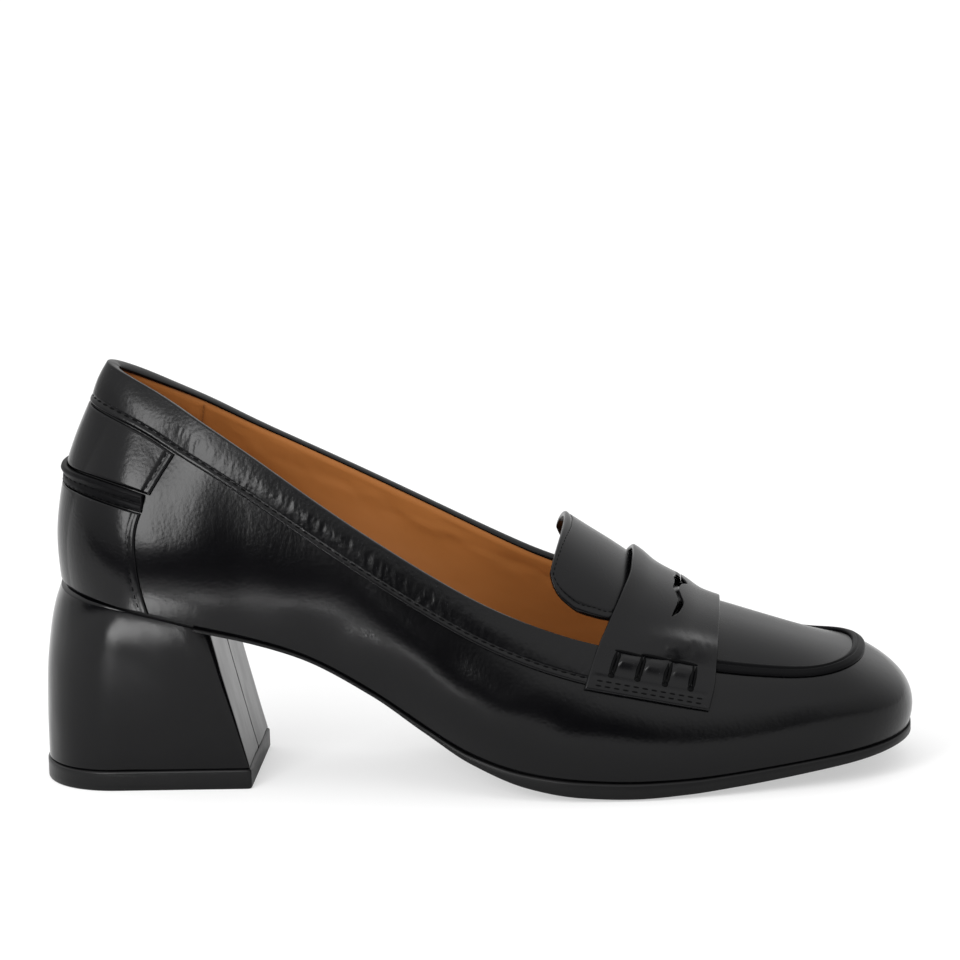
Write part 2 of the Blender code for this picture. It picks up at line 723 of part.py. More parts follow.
def make_outsole(group, finish):
    """Thin outsole from the heel breast to the toe, rounded under, with a flat to rest on."""
    halves = {side: feather_half(side, -SOLE_EDGE, -GAP) for side in (OUTER, INNER)}

    def under(point, across):
        thick = column(OUTSOLE, "thick", point[0])
        to_tip = 1.0 - (TOE_TIP + SOLE_EDGE - point[0]) / SOLE_TIP
        rounded = SOLE_ROUND * max(abs(2.0 * across - 1.0), to_tip) ** 3
        return np.array([point[0], point[1], max(point[2] - thick + rounded, 0.0)])

    rows = sheet_rows(halves, SOLE_START, 1.0, SOLE_ACROSS)
    return slab("outsole", rows, under, group, finish)


def make_insole(group, finish):
    """The sock board, just inside the wall all round."""
    halves = {side: feather_half(side, INSOLE_INSET, INSOLE_LIFT + INSOLE_THICK) for side in (OUTER, INNER)}

    def under(point, across):
        return point - np.array([0.0, 0.0, INSOLE_THICK])

    return slab("insole", sheet_rows(halves, 0.0, 1.0, INSOLE_ACROSS), under, group, finish)


def heel_outline(level):
    """One level of the heel, round from the inner breast corner over the back."""
    def side_points(side, width):
        reach = level.breast - level.back
        out = []
        for k in range(1, HEEL_SIDE_STEPS + 1):
            t = (k / HEEL_SIDE_STEPS) ** 1.6
            x = level.back + (reach - level.corner) * t
            out.append((x, side * width * float(cap(x - level.back, HEEL_BACK_CAP, 2.2))))
        for k in range(1, HEEL_CORNER_STEPS + 1):
            turn = math.radians(90.0 * k / HEEL_CORNER_STEPS)
            x = level.breast - level.corner * (1.0 - math.sin(turn))
            inset = level.corner * 0.62 * (1.0 - math.cos(turn))
            out.append((x, side * (width - inset)))
        return out

    outer, inner = side_points(OUTER, level.outer), side_points(INNER, level.inner)
    across = HEEL_BREAST_STEPS
    ends = (outer[-1][1], inner[-1][1])
    breast = [(level.breast, ends[0] + (ends[1] - ends[0]) * k / across) for k in range(1, across)]
    loop = [(level.back, 0.0)] + outer + breast + list(reversed(inner))
    return [(x + HEEL_SKEW * y * (x / level.breast) ** 2, y) for x, y in loop]


def seat_height(x):
    return float(column(FEATHER, "height", x)) - GAP


def make_heel(group, finish, rubber):
    sections = []
    base = TOP_PIECE + GAP
    for level in HEEL:
        section = []
        for x, y in heel_outline(level):
            top = seat_height(x)
            section.append((x, y, base + (top - base) * level.share))
        sections.append(section)
    heel_block(sections, group, finish)
    grown = HEEL[0]._replace(back=HEEL[0].back - TOP_PIECE_EDGE, breast=HEEL[0].breast + TOP_PIECE_EDGE,
                             outer=HEEL[0].outer + TOP_PIECE_EDGE, inner=HEEL[0].inner + TOP_PIECE_EDGE)
    outline = heel_outline(grown)
    piece = swept("heel_top_piece", [[(x, y, z) for x, y in outline] for z in (0.0, TOP_PIECE)],
                  group, rubber)
    rounded = piece.modifiers.new("Edge", "BEVEL")
    rounded.width = TOP_PIECE_BEVEL * MM
    rounded.segments = 2
    rounded.limit_method = "ANGLE"
    rounded.angle_limit = math.radians(50.0)


def heel_block(sections, group, finish):
    """The heel from its levels; the seat is closed by strips that follow the seat line."""
    count = len(sections[0])
    points = [p for section in sections for p in section]
    faces = grid_faces(len(sections), count, closed=True)
    faces.append(tuple(range(count)))
    start = len(points) - count
    half = (count - HEEL_BREAST_STEPS) // 2 + 1
    outer = [start + k for k in range(half)]
    inner = [start] + [start + count - k for k in range(1, half)]
    for k in range(half - 1):
        if k == 0:
            faces.append((outer[0], outer[1], inner[1]))
        else:
            faces.append((outer[k], outer[k + 1], inner[k + 1], inner[k]))
    faces.append(tuple([outer[-1]] + [start + half + k for k in range(HEEL_BREAST_STEPS - 1)] + [inner[-1]]))
    return add_mesh("heel_block", points, faces, group, finish)


def main():
    clear_scene()
    shoe = collection("loafer_pump")
    cutters = collection("cutters")
    black = material("calf_black", (0.012, 0.012, 0.013), 0.32, coat=0.5)
    heel_black = material("heel_black", (0.012, 0.012, 0.013), 0.25, coat=0.6)
    sole_black = material("sole_black", (0.015, 0.015, 0.016), 0.5)
    rubber = material("rubber_black", (0.016, 0.016, 0.017), 0.55)
    tan = material("sock_tan", (0.26, 0.11, 0.035), 0.5)
    make_upper(shoe, black)
    tree = upper_tree()
    make_band(shoe, black)
    make_counter(shoe, black)
    make_apron_seam(tree, shoe, black)
    make_tongue(tree, shoe, black)
    make_saddle(tree, shoe, black, cutters)
    make_insole(shoe, tan)
    make_outsole(shoe, sole_black)
    make_heel(shoe, heel_black, rubber)


main()
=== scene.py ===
"""Looks of the loafer pump: its leather pieces, lining, stitching, studio and camera.

Sizes are in millimetres in the shoemaker's frame: x runs from the back of the heel to
the toe, the outer side of the foot is at negative y, and z stands on the floor. They
become metres about the middle of the heel's resting face when a mesh is made.
"""

from __future__ import annotations

import logging
import math
from dataclasses import dataclass
from enum import Enum
from typing import Any, Callable, Sequence

import bpy
import numpy as np
from mathutils import Matrix, Vector
from mathutils.bvhtree import BVHTree


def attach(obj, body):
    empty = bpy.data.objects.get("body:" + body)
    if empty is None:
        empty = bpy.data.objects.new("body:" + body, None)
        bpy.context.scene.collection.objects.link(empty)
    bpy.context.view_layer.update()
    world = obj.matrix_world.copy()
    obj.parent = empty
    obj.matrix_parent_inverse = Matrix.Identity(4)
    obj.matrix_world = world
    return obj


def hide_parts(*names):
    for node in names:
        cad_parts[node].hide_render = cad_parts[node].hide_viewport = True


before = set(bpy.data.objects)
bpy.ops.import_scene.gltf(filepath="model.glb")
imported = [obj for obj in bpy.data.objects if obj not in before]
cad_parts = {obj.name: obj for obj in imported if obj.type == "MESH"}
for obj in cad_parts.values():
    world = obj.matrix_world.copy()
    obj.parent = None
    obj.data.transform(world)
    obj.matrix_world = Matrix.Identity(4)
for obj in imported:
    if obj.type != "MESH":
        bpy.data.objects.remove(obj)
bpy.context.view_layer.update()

LOG = logging.getLogger("loafer_pump")
Array = np.ndarray
Surface = Callable[[Array, Array], Array]

MM = 0.001
HEEL_CENTRE = 32.0
BODY = "root"


class Side(Enum):
    """The two sides of the foot, by the sign of y."""

    OUTER = -1
    INNER = 1


class Slot(Enum):
    """Material slots of the record."""

    CALF = "calf_black"
    HEEL = "heel_black"
    SOLE = "sole_black"
    RUBBER = "rubber_black"
    TAN = "sock_tan"


def monotone(xs: Array, ys: Array, x: Array) -> Array:
    """Value at x of the smooth curve through the points, with no overshoot.

    Args:
        xs: Rising positions of the points.
        ys: Values at the points.
        x: Where the curve is read.

    Returns:
        The curve's values, one for each x.
    """
    step = np.diff(xs)
    slope = np.diff(ys) / step
    tangent = np.zeros_like(ys)
    tangent[0], tangent[-1] = slope[0], slope[-1]
    for i in range(1, len(xs) - 1):
        if slope[i - 1] * slope[i] > 0.0:
            w0, w1 = 2 * step[i] + step[i - 1], step[i] + 2 * step[i - 1]
            tangent[i] = (w0 + w1) / (w0 / slope[i - 1] + w1 / slope[i])
    x = np.clip(x, xs[0], xs[-1])
    k = np.clip(np.searchsorted(xs, x, side="right") - 1, 0, len(xs) - 2)
    t = (x - xs[k]) / step[k]
    a, b = 2 * t**3 - 3 * t**2 + 1, t**3 - 2 * t**2 + t
    c, d = -2 * t**3 + 3 * t**2, t**3 - t**2
    return a * ys[k] + b * step[k] * tangent[k] + c * ys[k + 1] + d * step[k] * tangent[k + 1]


class Table:
    """Rows of named sizes, read as smooth curves over their first column."""

    SOFT_STEPS = np.linspace(-1.5, 1.5, 9)

    def __init__(self, names: str, rows: Sequence[Sequence[float]]) -> None:
        """Keep the columns of the rows as arrays.

        Args:
            names: Names of the columns, with spaces between them.
            rows: One row of sizes for each place, with the first column rising.
        """
        self.columns = dict(zip(names.split(), np.array(rows, float).T.copy()))
        self.key = self.columns[names.split()[0]]

    def at(self, name: str, x: Array | float) -> Array:
        """A named column's value at x."""
        return monotone(self.key, self.columns[name], np.asarray(x, float))

    def soft(self, name: str, x: Array | float, reach: float) -> Array:
        """A named column's value at x, averaged over a reach so that gloss shows no breaks."""
        weights = np.exp(-(self.SOFT_STEPS**2))
        total = sum(w * self.at(name, np.asarray(x, float) + reach * s)
                    for w, s in zip(weights, self.SOFT_STEPS))
        return total / weights.sum()


# Edge where the upper meets the sole: half widths and height at x.
FEATHER = Table("x outer inner height", [
    (9, 25.5, 25.5, 58.2), (20.7, 26.3, 26.5, 56.8), (35.5, 28, 27.8, 53.4), (48.4, 27.8, 27.2, 49.8),
    (62, 27, 25.2, 46.4), (78.3, 26.4, 22.8, 41), (98.4, 27.6, 22, 30), (112.8, 30.4, 23.8, 20.4),
    (126, 34.2, 27.2, 12.8), (141.9, 37.9, 31.6, 7.9), (158, 39.7, 35.6, 5.9), (174, 39.4, 38, 5.2),
    (188, 37.6, 38.2, 5.4), (201, 35, 36.4, 6.3), (215, 31.6, 33.4, 7.6), (230, 28, 30, 9.2),
    (250.2, 25, 26.5, 11),
])
# Top line of the collar and the apron seam at x.
TOPLINE = Table("x outer inner outer_height inner_height", [
    (24.4, 11, 11, 121.4, 121.4), (37.8, 11.8, 12.4, 114.8, 114), (51.6, 17, 17.2, 106.9, 105.6),
    (65.2, 21, 21, 98.2, 97.2), (78.7, 24.2, 24.2, 88.8, 89.6), (92.1, 26.8, 26.8, 79.6, 82.2),
    (105.5, 28.9, 28.8, 70.9, 74.8), (118.9, 30.6, 30.4, 62.6, 67.4), (132.3, 31.8, 31.4, 55.1, 60.2),
    (145.7, 32.1, 31.6, 49.1, 53.8), (160, 31.5, 30.8, 44, 49), (175, 29.4, 27.8, 40.1, 44.8),
    (190, 27, 24.2, 36.6, 41), (207, 24.8, 21.4, 33.6, 36), (221, 23.4, 20, 32.4, 32.7),
    (236.4, 22, 19, 33.8, 33.8),
])
# How the wall rises at a share of the way round: its lean at sole and top, in degrees.
RISE = Table("way top_way flare_outer flare_inner lean hold", [
    (0, 0, 7, 7, 28, 0.34), (0.1, 0.06, 10, 10, 26, 0.34), (0.2, 0.14, 14, 13, 20, 0.34),
    (0.34, 0.275, 18, 10, 15, 0.34), (0.48, 0.425, 24, 14, 15, 0.34), (0.64, 0.62, 24, 24, 36, 0.34),
    (0.76, 0.75, 22, 24, 52, 0.36), (0.88, 0.875, 21, 21, 60, 0.43), (1, 1, 22, 22, 60, 0.5),
])
# Height of the apron's middle line at x.
APRON_CREST = Table("x height", [
    (145, 65), (165, 57.4), (172, 55), (181, 51.2), (191, 46.8), (199.6, 44.4), (213.8, 40.2),
    (228, 36.2), (236.4, 33.8),
])
# Ends of the sole's edge and of the top line, in x.
SOLE_BACK, TOE_TIP = 9.0, 250.2
COLLAR_BACK, APRON_FRONT = 24.4, 236.4
# Clearance between two pieces, and wall of a sheet that only shows its face.
GAP, FILM = 0.32, 0.25
# Shares of the way round where the apron begins, where the ground begins and where the toe's corner is.
THROAT, TREE_START, APRON_CORNER = 0.66, 0.58, 0.92


def ramp(distance: Array, reach: float) -> Array:
    """Distance as a share of a reach, held between 0 and 1."""
    return np.clip(np.asarray(distance, float) / reach, 0.0, 1.0)


def cap(distance: Array, reach: float, power: float) -> Array:
    """Share of the full width near a rounded end, a distance away from its tip."""
    return (1.0 - (1.0 - ramp(distance, reach)) ** power) ** (1.0 / power)


def unit(vectors: Array) -> Array:
    """Vectors scaled to length one."""
    return vectors / np.maximum(np.linalg.norm(vectors, axis=-1, keepdims=True), 1e-9)


def wrap(w: Array) -> Array:
    """Ways round the shoe brought back into -1 to 1, past the toe."""
    return (np.asarray(w, float) + 1.0) % 2.0 - 1.0


def swell(distance: Array, reach: float) -> Array:
    """Share of a rounded edge's height at a distance in from the edge."""
    return np.sqrt(1.0 - (1.0 - ramp(distance, reach)) ** 2)


def bump(distance: Array, width: float) -> Array:
    """A soft ridge's share at a distance from its middle line."""
    return np.exp(-((np.asarray(distance, float) / width) ** 2))


def place(points: Array) -> Array:
    """Points in millimetres as metres about the middle of the heel's rest."""
    return (points - np.array([HEEL_CENTRE, 0.0, 0.0])) * MM


def along_run(at: Array, run: Array, rows: Array) -> Array:
    """Rows of three measures read at places along a rising run."""
    return np.stack([np.interp(at, run, rows[:, k]) for k in range(3)], axis=-1)


def travel(grid: Array, axis: int) -> Array:
    """Length run along one axis of a grid of points, from zero at its first line."""
    steps = np.linalg.norm(np.diff(grid, axis=axis), axis=2)
    return np.concatenate([np.zeros_like(steps.take([0], axis)), np.cumsum(steps, axis=axis)], axis=axis)


def upward(grid: Array) -> Array:
    """Normals of a grid of points, turned so that they point up in its middle."""
    normal = unit(np.cross(np.gradient(grid, axis=1), np.gradient(grid, axis=0)))
    return normal * np.sign(normal[len(grid) // 2, len(grid[0]) // 2, 2])


def spread_ends(length: float, pitch: float, fine: float, reach: float) -> Array:
    """Shares along a length, closer together near both of its ends.

    Args:
        length: Length to be covered, in millimetres.
        pitch: Spacing in the middle.
        fine: Spacing near the ends.
        reach: How far the close spacing lasts.

    Returns:
        Rising shares from 0 to 1.
    """
    near = np.arange(0.0, reach, fine)
    middle = np.linspace(reach, length - reach, max(2, round((length - 2 * reach) / pitch) + 1))
    return np.concatenate([near, middle, length - near[::-1]]) / length


class Outline:
    """One side of a closed outline, from its back to its front, by share of its length."""

    SAMPLES = 3000
    SHARE = 0.004

    def __init__(self, side: Side, table: Table, ends: tuple[float, float], heights: str,
                 caps: tuple[tuple[float, float], tuple[float, float]],
                 inset: float = 0.0, lift: float = 0.0) -> None:
        """Trace the outline.

        Args:
            side: Side of the foot.
            table: Table with the half widths.
            ends: x of the outline's back and front.
            heights: Name of the column with the heights.
            caps: Reach and power of the rounded back and front.
            inset: How far the outline is drawn in.
            lift: How far it is raised.
        """
        back, front = ends[0] + inset, ends[1] - inset
        x = back + (front - back) * (1.0 - np.cos(np.linspace(0.0, math.pi, self.SAMPLES))) / 2.0
        half = table.at(side.name.lower(), x) - inset
        y = side.value * half * cap(x - back, *caps[0]) * cap(front - x, *caps[1])
        self.points = np.stack([x, y, table.at(heights, x) + lift], axis=1)
        run = np.concatenate([[0.0], np.cumsum(np.hypot(np.diff(x), np.diff(y)))])
        self.way = run / run[-1]
        self.side = side

    def at(self, way: Array) -> Array:
        """Points at shares of the way."""
        return along_run(way, self.way, self.points)

    def outward(self, way: Array) -> Array:
        """Level directions away from the outline."""
        way = np.asarray(way, float)
        ahead = self.at(np.minimum(way + self.SHARE, 1.0)) - self.at(np.maximum(way - self.SHARE, 0.0))
        normal = np.stack([-ahead[..., 1], ahead[..., 0], 0.0 * way], axis=-1) * self.side.value
        return unit(normal)


def feather(side: Side, inset: float = 0.0, lift: float = 0.0) -> Outline:
    """The edge where the upper meets the sole, or one inset and lifted from it."""
    return Outline(side, FEATHER, (SOLE_BACK, TOE_TIP), "height", ((26.0, 2.1), (27.0, 2.35)), inset, lift)


def topline(side: Side) -> Outline:
    """The collar's edge and the apron seam."""
    name = side.name.lower() + "_height"
    return Outline(side, TOPLINE, (COLLAR_BACK, APRON_FRONT), name, ((30.0, 2.0), (16.0, 2.6)))


def lookup(rows: Array, target: Array) -> Array:
    """Share along each rising row at which it reaches its target."""
    k = np.clip((rows < target[:, None]).sum(axis=1), 1, rows.shape[1] - 1)
    index = np.arange(len(rows))
    low, high = rows[index, k - 1], rows[index, k]
    f = np.clip((target - low) / np.maximum(high - low, 1e-6), 0.0, 1.0)
    return (k - 1 + f) / (rows.shape[1] - 1)


class Last:
    """The outside of the upper: its wall from the sole to the collar, and the apron.

    w runs from -1 at the toe along the outer side over 0 at the heel to 1 at the toe.
    """

    STATIONS = 1201
    SOFTEN = 8.0
    START_HOLD = 0.42
    RISE_STEPS = 61

    def __init__(self) -> None:
        """Work out the four handles of the wall's rising curve at every station."""
        w = np.linspace(-1.0, 1.0, self.STATIONS)
        outer, inner = self._side(Side.OUTER, -w[w <= 0.0]), self._side(Side.INNER, w[w > 0.0])
        self.ribs = self._softened(np.concatenate([outer, inner]))
        v = np.linspace(0.0, 1.0, self.RISE_STEPS)
        rows = np.stack([self._curve(self.ribs, np.full(self.STATIONS, k)) for k in v], axis=1)
        self.run = travel(rows, 1)
        self.heights = rows[:, :, 2]
        level = np.linalg.norm(np.diff(rows[:, 0, :2], axis=0), axis=1)
        self.way_length = float(level.sum() / 2.0)

    def _side(self, side: Side, way: Array) -> Array:
        """Handles of one side's rising curves, stations by four by three."""
        low, high = feather(side), topline(side)
        top_way = RISE.soft("top_way", way, 0.02)
        start, end = low.at(way), high.at(top_way)
        flare = np.radians(RISE.soft("flare_" + side.name.lower(), way, 0.02))[:, None]
        lean = np.radians(RISE.soft("lean", way, 0.02))[:, None]
        hold = RISE.soft("hold", way, 0.02)[:, None]
        reach = np.linalg.norm(end - start, axis=1, keepdims=True)
        up = np.array([0.0, 0.0, 1.0])
        rise = up * np.cos(flare) + low.outward(way) * np.sin(flare)
        arrive = up * np.cos(lean) - high.outward(top_way) * np.sin(lean)
        return np.stack([start, start + rise * reach * self.START_HOLD, end - arrive * reach * hold, end],
                        axis=1)

    def _softened(self, ribs: Array) -> Array:
        """Handles averaged a little along the closed loop."""
        loop = ribs[:-1]
        share = np.exp(-2.0 * (math.pi * self.SOFTEN * np.fft.fftfreq(len(loop))) ** 2)
        soft = np.real(np.fft.ifft(np.fft.fft(loop, axis=0) * share[:, None, None], axis=0))
        return np.concatenate([soft, soft[:1]])

    @staticmethod
    def _curve(ribs: Array, v: Array) -> Array:
        """Points of the rising curves with four handles each."""
        v = np.asarray(v, float)[:, None]
        u = 1.0 - v
        return (ribs[:, 0] * u**3 + ribs[:, 1] * 3 * u * u * v + ribs[:, 2] * 3 * u * v * v
                + ribs[:, 3] * v**3)

    def _at(self, rows: Array, w: Array) -> Array:
        """Rows of a per-station array at any w."""
        t = (wrap(w) + 1.0) / 2.0 * (self.STATIONS - 1)
        k = np.clip(t.astype(int), 0, self.STATIONS - 2)
        f = (t - k).reshape((-1,) + (1,) * (rows.ndim - 1))
        return rows[k] * (1.0 - f) + rows[k + 1] * f

    def wall(self, w: Array, v: Array) -> Array:
        """Points of the wall, v from 0 at the sole to 1 at the top."""
        return self._curve(self._at(self.ribs, w), v)

    def share_below_top(self, w: Array, drop: Array | float) -> Array:
        """The v that lies a length below the wall's top edge."""
        run = self._at(self.run, w)
        return lookup(run, run[:, -1] - drop)

    def share_at_height(self, w: Array, height: Array) -> Array:
        """The v where the wall reaches a height above the floor."""
        return lookup(self._at(self.heights, w), np.asarray(height, float))

    def normal(self, w: Array, v: Array) -> Array:
        """Directions straight out of the wall."""
        d = 0.003
        along = self.wall(w + d, v) - self.wall(w - d, v)
        rising = self.wall(w, np.minimum(v + 0.02, 1.0)) - self.wall(w, np.maximum(v - 0.02, 0.0))
        return unit(np.cross(rising, along))

    def proud(self, w: Array, v: Array, out: Array | float) -> Array:
        """Points that stand off the wall by a length."""
        return self.wall(w, v) + self.normal(w, v) * np.reshape(out, (-1, 1))

    def seam(self, w: Array) -> Array:
        """Points of the wall's top edge."""
        return self.wall(w, np.ones_like(np.asarray(w, float)))

    def apron(self, way: Array, across: Array) -> Array:
        """Points of the apron, stretched between its seams and domed to its crest."""
        point, middle = self._stretched(way, across), self._stretched(way, 0.0 * across)
        rise = APRON_CREST.soft("height", middle[:, 0], 5.0) - middle[:, 2]
        point[:, 2] += rise * (1.0 - np.abs(across) ** 2.2)
        return point

    def _stretched(self, way: Array, across: Array) -> Array:
        """Points between the two seams and the front, before the apron is domed."""
        half, along = ((across + 1.0) / 2.0)[:, None], ((way - THROAT) / (APRON_CORNER - THROAT))[:, None]
        one = np.ones_like(way)
        throat = self.seam(-THROAT * one) * (1 - half) + self.seam(THROAT * one) * half
        corners = self.seam(-APRON_CORNER * one) * (1 - half) + self.seam(APRON_CORNER * one) * half
        sides = self.seam(-way) * (1 - half) + self.seam(way) * half
        front = self.seam(-APRON_CORNER - half[:, 0] * 2.0 * (1.0 - APRON_CORNER))
        ends = throat * (1 - along) + front * along
        return sides + ends - throat * (1 - along) - corners * along


LAST = Last()


class Noise:
    """Smooth seeded noise over the plane, between -1 and 1."""

    SIZE = 256

    def __init__(self, seed: int) -> None:
        """Fill the lattice.

        Args:
            seed: Seed of the lattice's values.
        """
        self.lattice = np.random.RandomState(seed).uniform(-1.0, 1.0, (self.SIZE, self.SIZE))

    def at(self, a: Array, b: Array) -> Array:
        """Values at positions counted in lattice steps."""
        a, b = np.asarray(a, float), np.asarray(b, float)
        i, j = np.floor(a).astype(int), np.floor(b).astype(int)
        f, g = a - i, b - j
        f, g = f * f * (3 - 2 * f), g * g * (3 - 2 * g)
        i0, j0, i1, j1 = i % self.SIZE, j % self.SIZE, (i + 1) % self.SIZE, (j + 1) % self.SIZE
        near = self.lattice[i0, j0] * (1 - g) + self.lattice[i0, j1] * g
        far = self.lattice[i1, j0] * (1 - g) + self.lattice[i1, j1] * g
        return near * (1 - f) + far * f

    def rough(self, a: Array, b: Array, octaves: int = 3) -> Array:
        """Values with finer and finer steps added."""
        return sum(self.at(a * 2**k + 17 * k, b * 2**k + 31 * k) / 2**k for k in range(octaves))


class Bench:
    """Mesh work in Blender: sheets laid on surfaces, walls, stitches."""

    GRID_WELD = 0.000004
    EDGE_WELD = 0.00001

    @staticmethod
    def pick(*items: bpy.types.Object) -> None:
        """Select pieces alone, with the last one active."""
        bpy.ops.object.select_all(action="DESELECT")
        for item in items:
            item.select_set(True)
            bpy.context.view_layer.objects.active = item

    @staticmethod
    def hang(name: str, data: bpy.types.ID) -> bpy.types.Object:
        """A new object of the scene for a mesh, a light or a camera."""
        made = bpy.data.objects.new(name, data)
        bpy.context.scene.collection.objects.link(made)
        return made

    @classmethod
    def sheet(cls, name: str, across: Array, up: Array, surface: Surface) -> bpy.types.Object:
        """Lay a grid primitive on a surface, and close it where its edges meet.

        Args:
            name: Name of the piece.
            across: Values of the surface's first measure, one for each column of points.
            up: Values of its second measure, one for each row of points.
            surface: Gives points in millimetres for both measures.

        Returns:
            The new piece.
        """
        cls.pick()
        bpy.ops.mesh.primitive_grid_add(x_subdivisions=len(across) - 1, y_subdivisions=len(up) - 1,
                                        size=1.0)
        made = bpy.context.active_object
        made.name = made.data.name = name
        flat = np.zeros(len(made.data.vertices) * 3)
        made.data.vertices.foreach_get("co", flat)
        flat = flat.reshape(-1, 3) + 0.5
        columns = np.rint(flat[:, 0] * (len(across) - 1)).astype(int)
        rows = np.rint(flat[:, 1] * (len(up) - 1)).astype(int)
        cls.move(made, place(surface(np.asarray(across)[columns], np.asarray(up)[rows])))
        cls.edit(made, lambda: bpy.ops.mesh.remove_doubles(threshold=cls.GRID_WELD))
        return made

    @staticmethod
    def move(item: bpy.types.Object, points: Array) -> None:
        """Put a mesh's vertices at points in metres."""
        item.data.vertices.foreach_set("co", np.ascontiguousarray(points, dtype=np.float64).ravel())
        item.data.update()

    @staticmethod
    def read(item: bpy.types.Object) -> Array:
        """A mesh's vertices, in metres."""
        flat = np.zeros(len(item.data.vertices) * 3)
        item.data.vertices.foreach_get("co", flat)
        return flat.reshape(-1, 3)

    @classmethod
    def edit(cls, item: bpy.types.Object, *steps: Callable[[], Any]) -> None:
        """Run edit-mode steps on the whole of a piece."""
        cls.pick(item)
        bpy.ops.object.mode_set(mode="EDIT")
        bpy.ops.mesh.select_all(action="SELECT")
        for step in steps:
            step()
        bpy.ops.object.mode_set(mode="OBJECT")

    @classmethod
    def face_away(cls, item: bpy.types.Object, centre: tuple[float, float, float], away: bool) -> None:
        """Turn an open sheet's faces away from a point in millimetres, or towards it."""
        middle = Vector(place(np.array(centre)))
        facing = sum(f.normal.dot(f.center - middle) * f.area for f in item.data.polygons)
        if (facing < 0.0) == away:
            cls.edit(item, bpy.ops.mesh.flip_normals)

    @classmethod
    def apply(cls, item: bpy.types.Object, kind: str, **settings: Any) -> None:
        """Add a modifier with its settings and apply it."""
        cls.pick(item)
        added = item.modifiers.new(kind.title(), kind)
        for name, value in settings.items():
            setattr(added, name, value)
        bpy.ops.object.modifier_apply(modifier=added.name)

    @classmethod
    def skin(cls, item: bpy.types.Object, centre: tuple[float, float, float], thick: float,
             material: bpy.types.Material, slot: Slot, *nodes: str, away: bool = True) -> None:
        """Finish an open sheet, with its face away from a point and a wall behind the face."""
        cls.face_away(item, centre, away)
        cls.apply(item, "SOLIDIFY", thickness=thick * MM, offset=-1.0, use_even_offset=True)
        cls.finish(item, material, slot, *nodes)

    @classmethod
    def close(cls, item: bpy.types.Object) -> bpy.types.Object:
        """Fill a tube's two ends and turn its faces outwards."""
        cls.edit(item, lambda: bpy.ops.mesh.fill_holes(sides=0),
                 lambda: bpy.ops.mesh.normals_make_consistent(inside=False))
        return item

    @classmethod
    def pillow(cls, name: str, face: Array, back: Array) -> bpy.types.Object:
        """A closed piece of leather: two grids of points that meet at their edges."""
        rows, columns = (np.arange(float(count)) for count in face.shape[:2])

        def laid(tail: str, grid: Array) -> bpy.types.Object:
            """One of the two grids as a sheet."""
            return cls.sheet(name + tail, columns, rows, lambda u, v: grid[v.astype(int), u.astype(int)])

        front, rear = laid("", face), laid("_back", back)
        cls.pick(rear, front)
        bpy.ops.object.join()
        cls.edit(front, lambda: bpy.ops.mesh.remove_doubles(threshold=cls.EDGE_WELD),
                 lambda: bpy.ops.mesh.normals_make_consistent(inside=False))
        return front

    @classmethod
    def finish(cls, item: bpy.types.Object, material: bpy.types.Material, slot: Slot, *nodes: str) -> None:
        """Dress a piece, make it ride on the shoe and stand for its CAD nodes."""
        item.data.materials.clear()
        item.data.materials.append(material)
        item.data.shade_smooth()
        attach(item, BODY)
        if nodes:
            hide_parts(*nodes)
        item.data.calc_loop_triangles()
        LOG.info("%s: %d triangles", item.name, len(item.data.loop_triangles))


@dataclass(frozen=True)
class Stitch:
    """Size of one stitch of a row and the gap to the next."""

    length: float = 2.1
    gap: float = 0.75
    width: float = 0.42
    height: float = 0.34

    def row(self, name: str, points: Array, normals: Array, material: bpy.types.Material,
            slot: Slot = Slot.CALF, slant: float = 0.0) -> None:
        """Sew a row of stitches along a line of points.

        Args:
            name: Name of the row.
            points: Close points along the line, in millimetres.
            normals: Directions out of the leather at the points.
            material: Finish of the thread.
            slot: Material slot of the record; not used.
            slant: How far the stitches turn from the line, in degrees.
        """
        shape = self._shape()
        corners = Bench.read(shape) / MM
        faces = [tuple(f.vertices) for f in shape.data.polygons]
        bpy.data.objects.remove(shape, do_unlink=True)
        run = np.concatenate([[0.0], np.cumsum(np.linalg.norm(np.diff(points, axis=0), axis=1))])
        count = max(1, round(run[-1] / (self.length + self.gap)))
        at = (np.arange(count) + 0.5) * run[-1] / count
        middle = along_run(at, run, points)
        normal = unit(along_run(at, run, normals))
        ahead = along_run(at + 0.3, run, points) - along_run(at - 0.3, run, points)
        along = unit(ahead - normal * np.sum(ahead * normal, axis=1, keepdims=True))
        side = np.cross(normal, along)
        turn = math.radians(slant)
        along, side = (along * math.cos(turn) + side * math.sin(turn),
                       side * math.cos(turn) - along * math.sin(turn))
        spots = (middle[:, None] + corners[None, :, 0:1] * along[:, None]
                 + corners[None, :, 1:2] * side[:, None] + corners[None, :, 2:3] * normal[:, None])
        every = [tuple(i + k * len(corners) for i in f) for k in range(count) for f in faces]
        mesh = bpy.data.meshes.new(name)
        mesh.from_pydata(place(spots.reshape(-1, 3)).tolist(), [], every)
        Bench.finish(Bench.hang(name, mesh), material, slot)

    def _shape(self) -> bpy.types.Object:
        """One stitch, lying along x."""
        Bench.pick()
        bpy.ops.mesh.primitive_uv_sphere_add(segments=8, ring_count=6, radius=0.5 * MM)
        shape = bpy.context.active_object
        ends = Bench.read(shape)[:, [2, 1, 0]]
        ends[:, 0] = np.sign(ends[:, 0]) * np.abs(ends[:, 0] / MM * 2) ** 0.7 * 0.5 * MM
        Bench.move(shape, ends * np.array([self.length, self.width, -self.height]))
        return shape


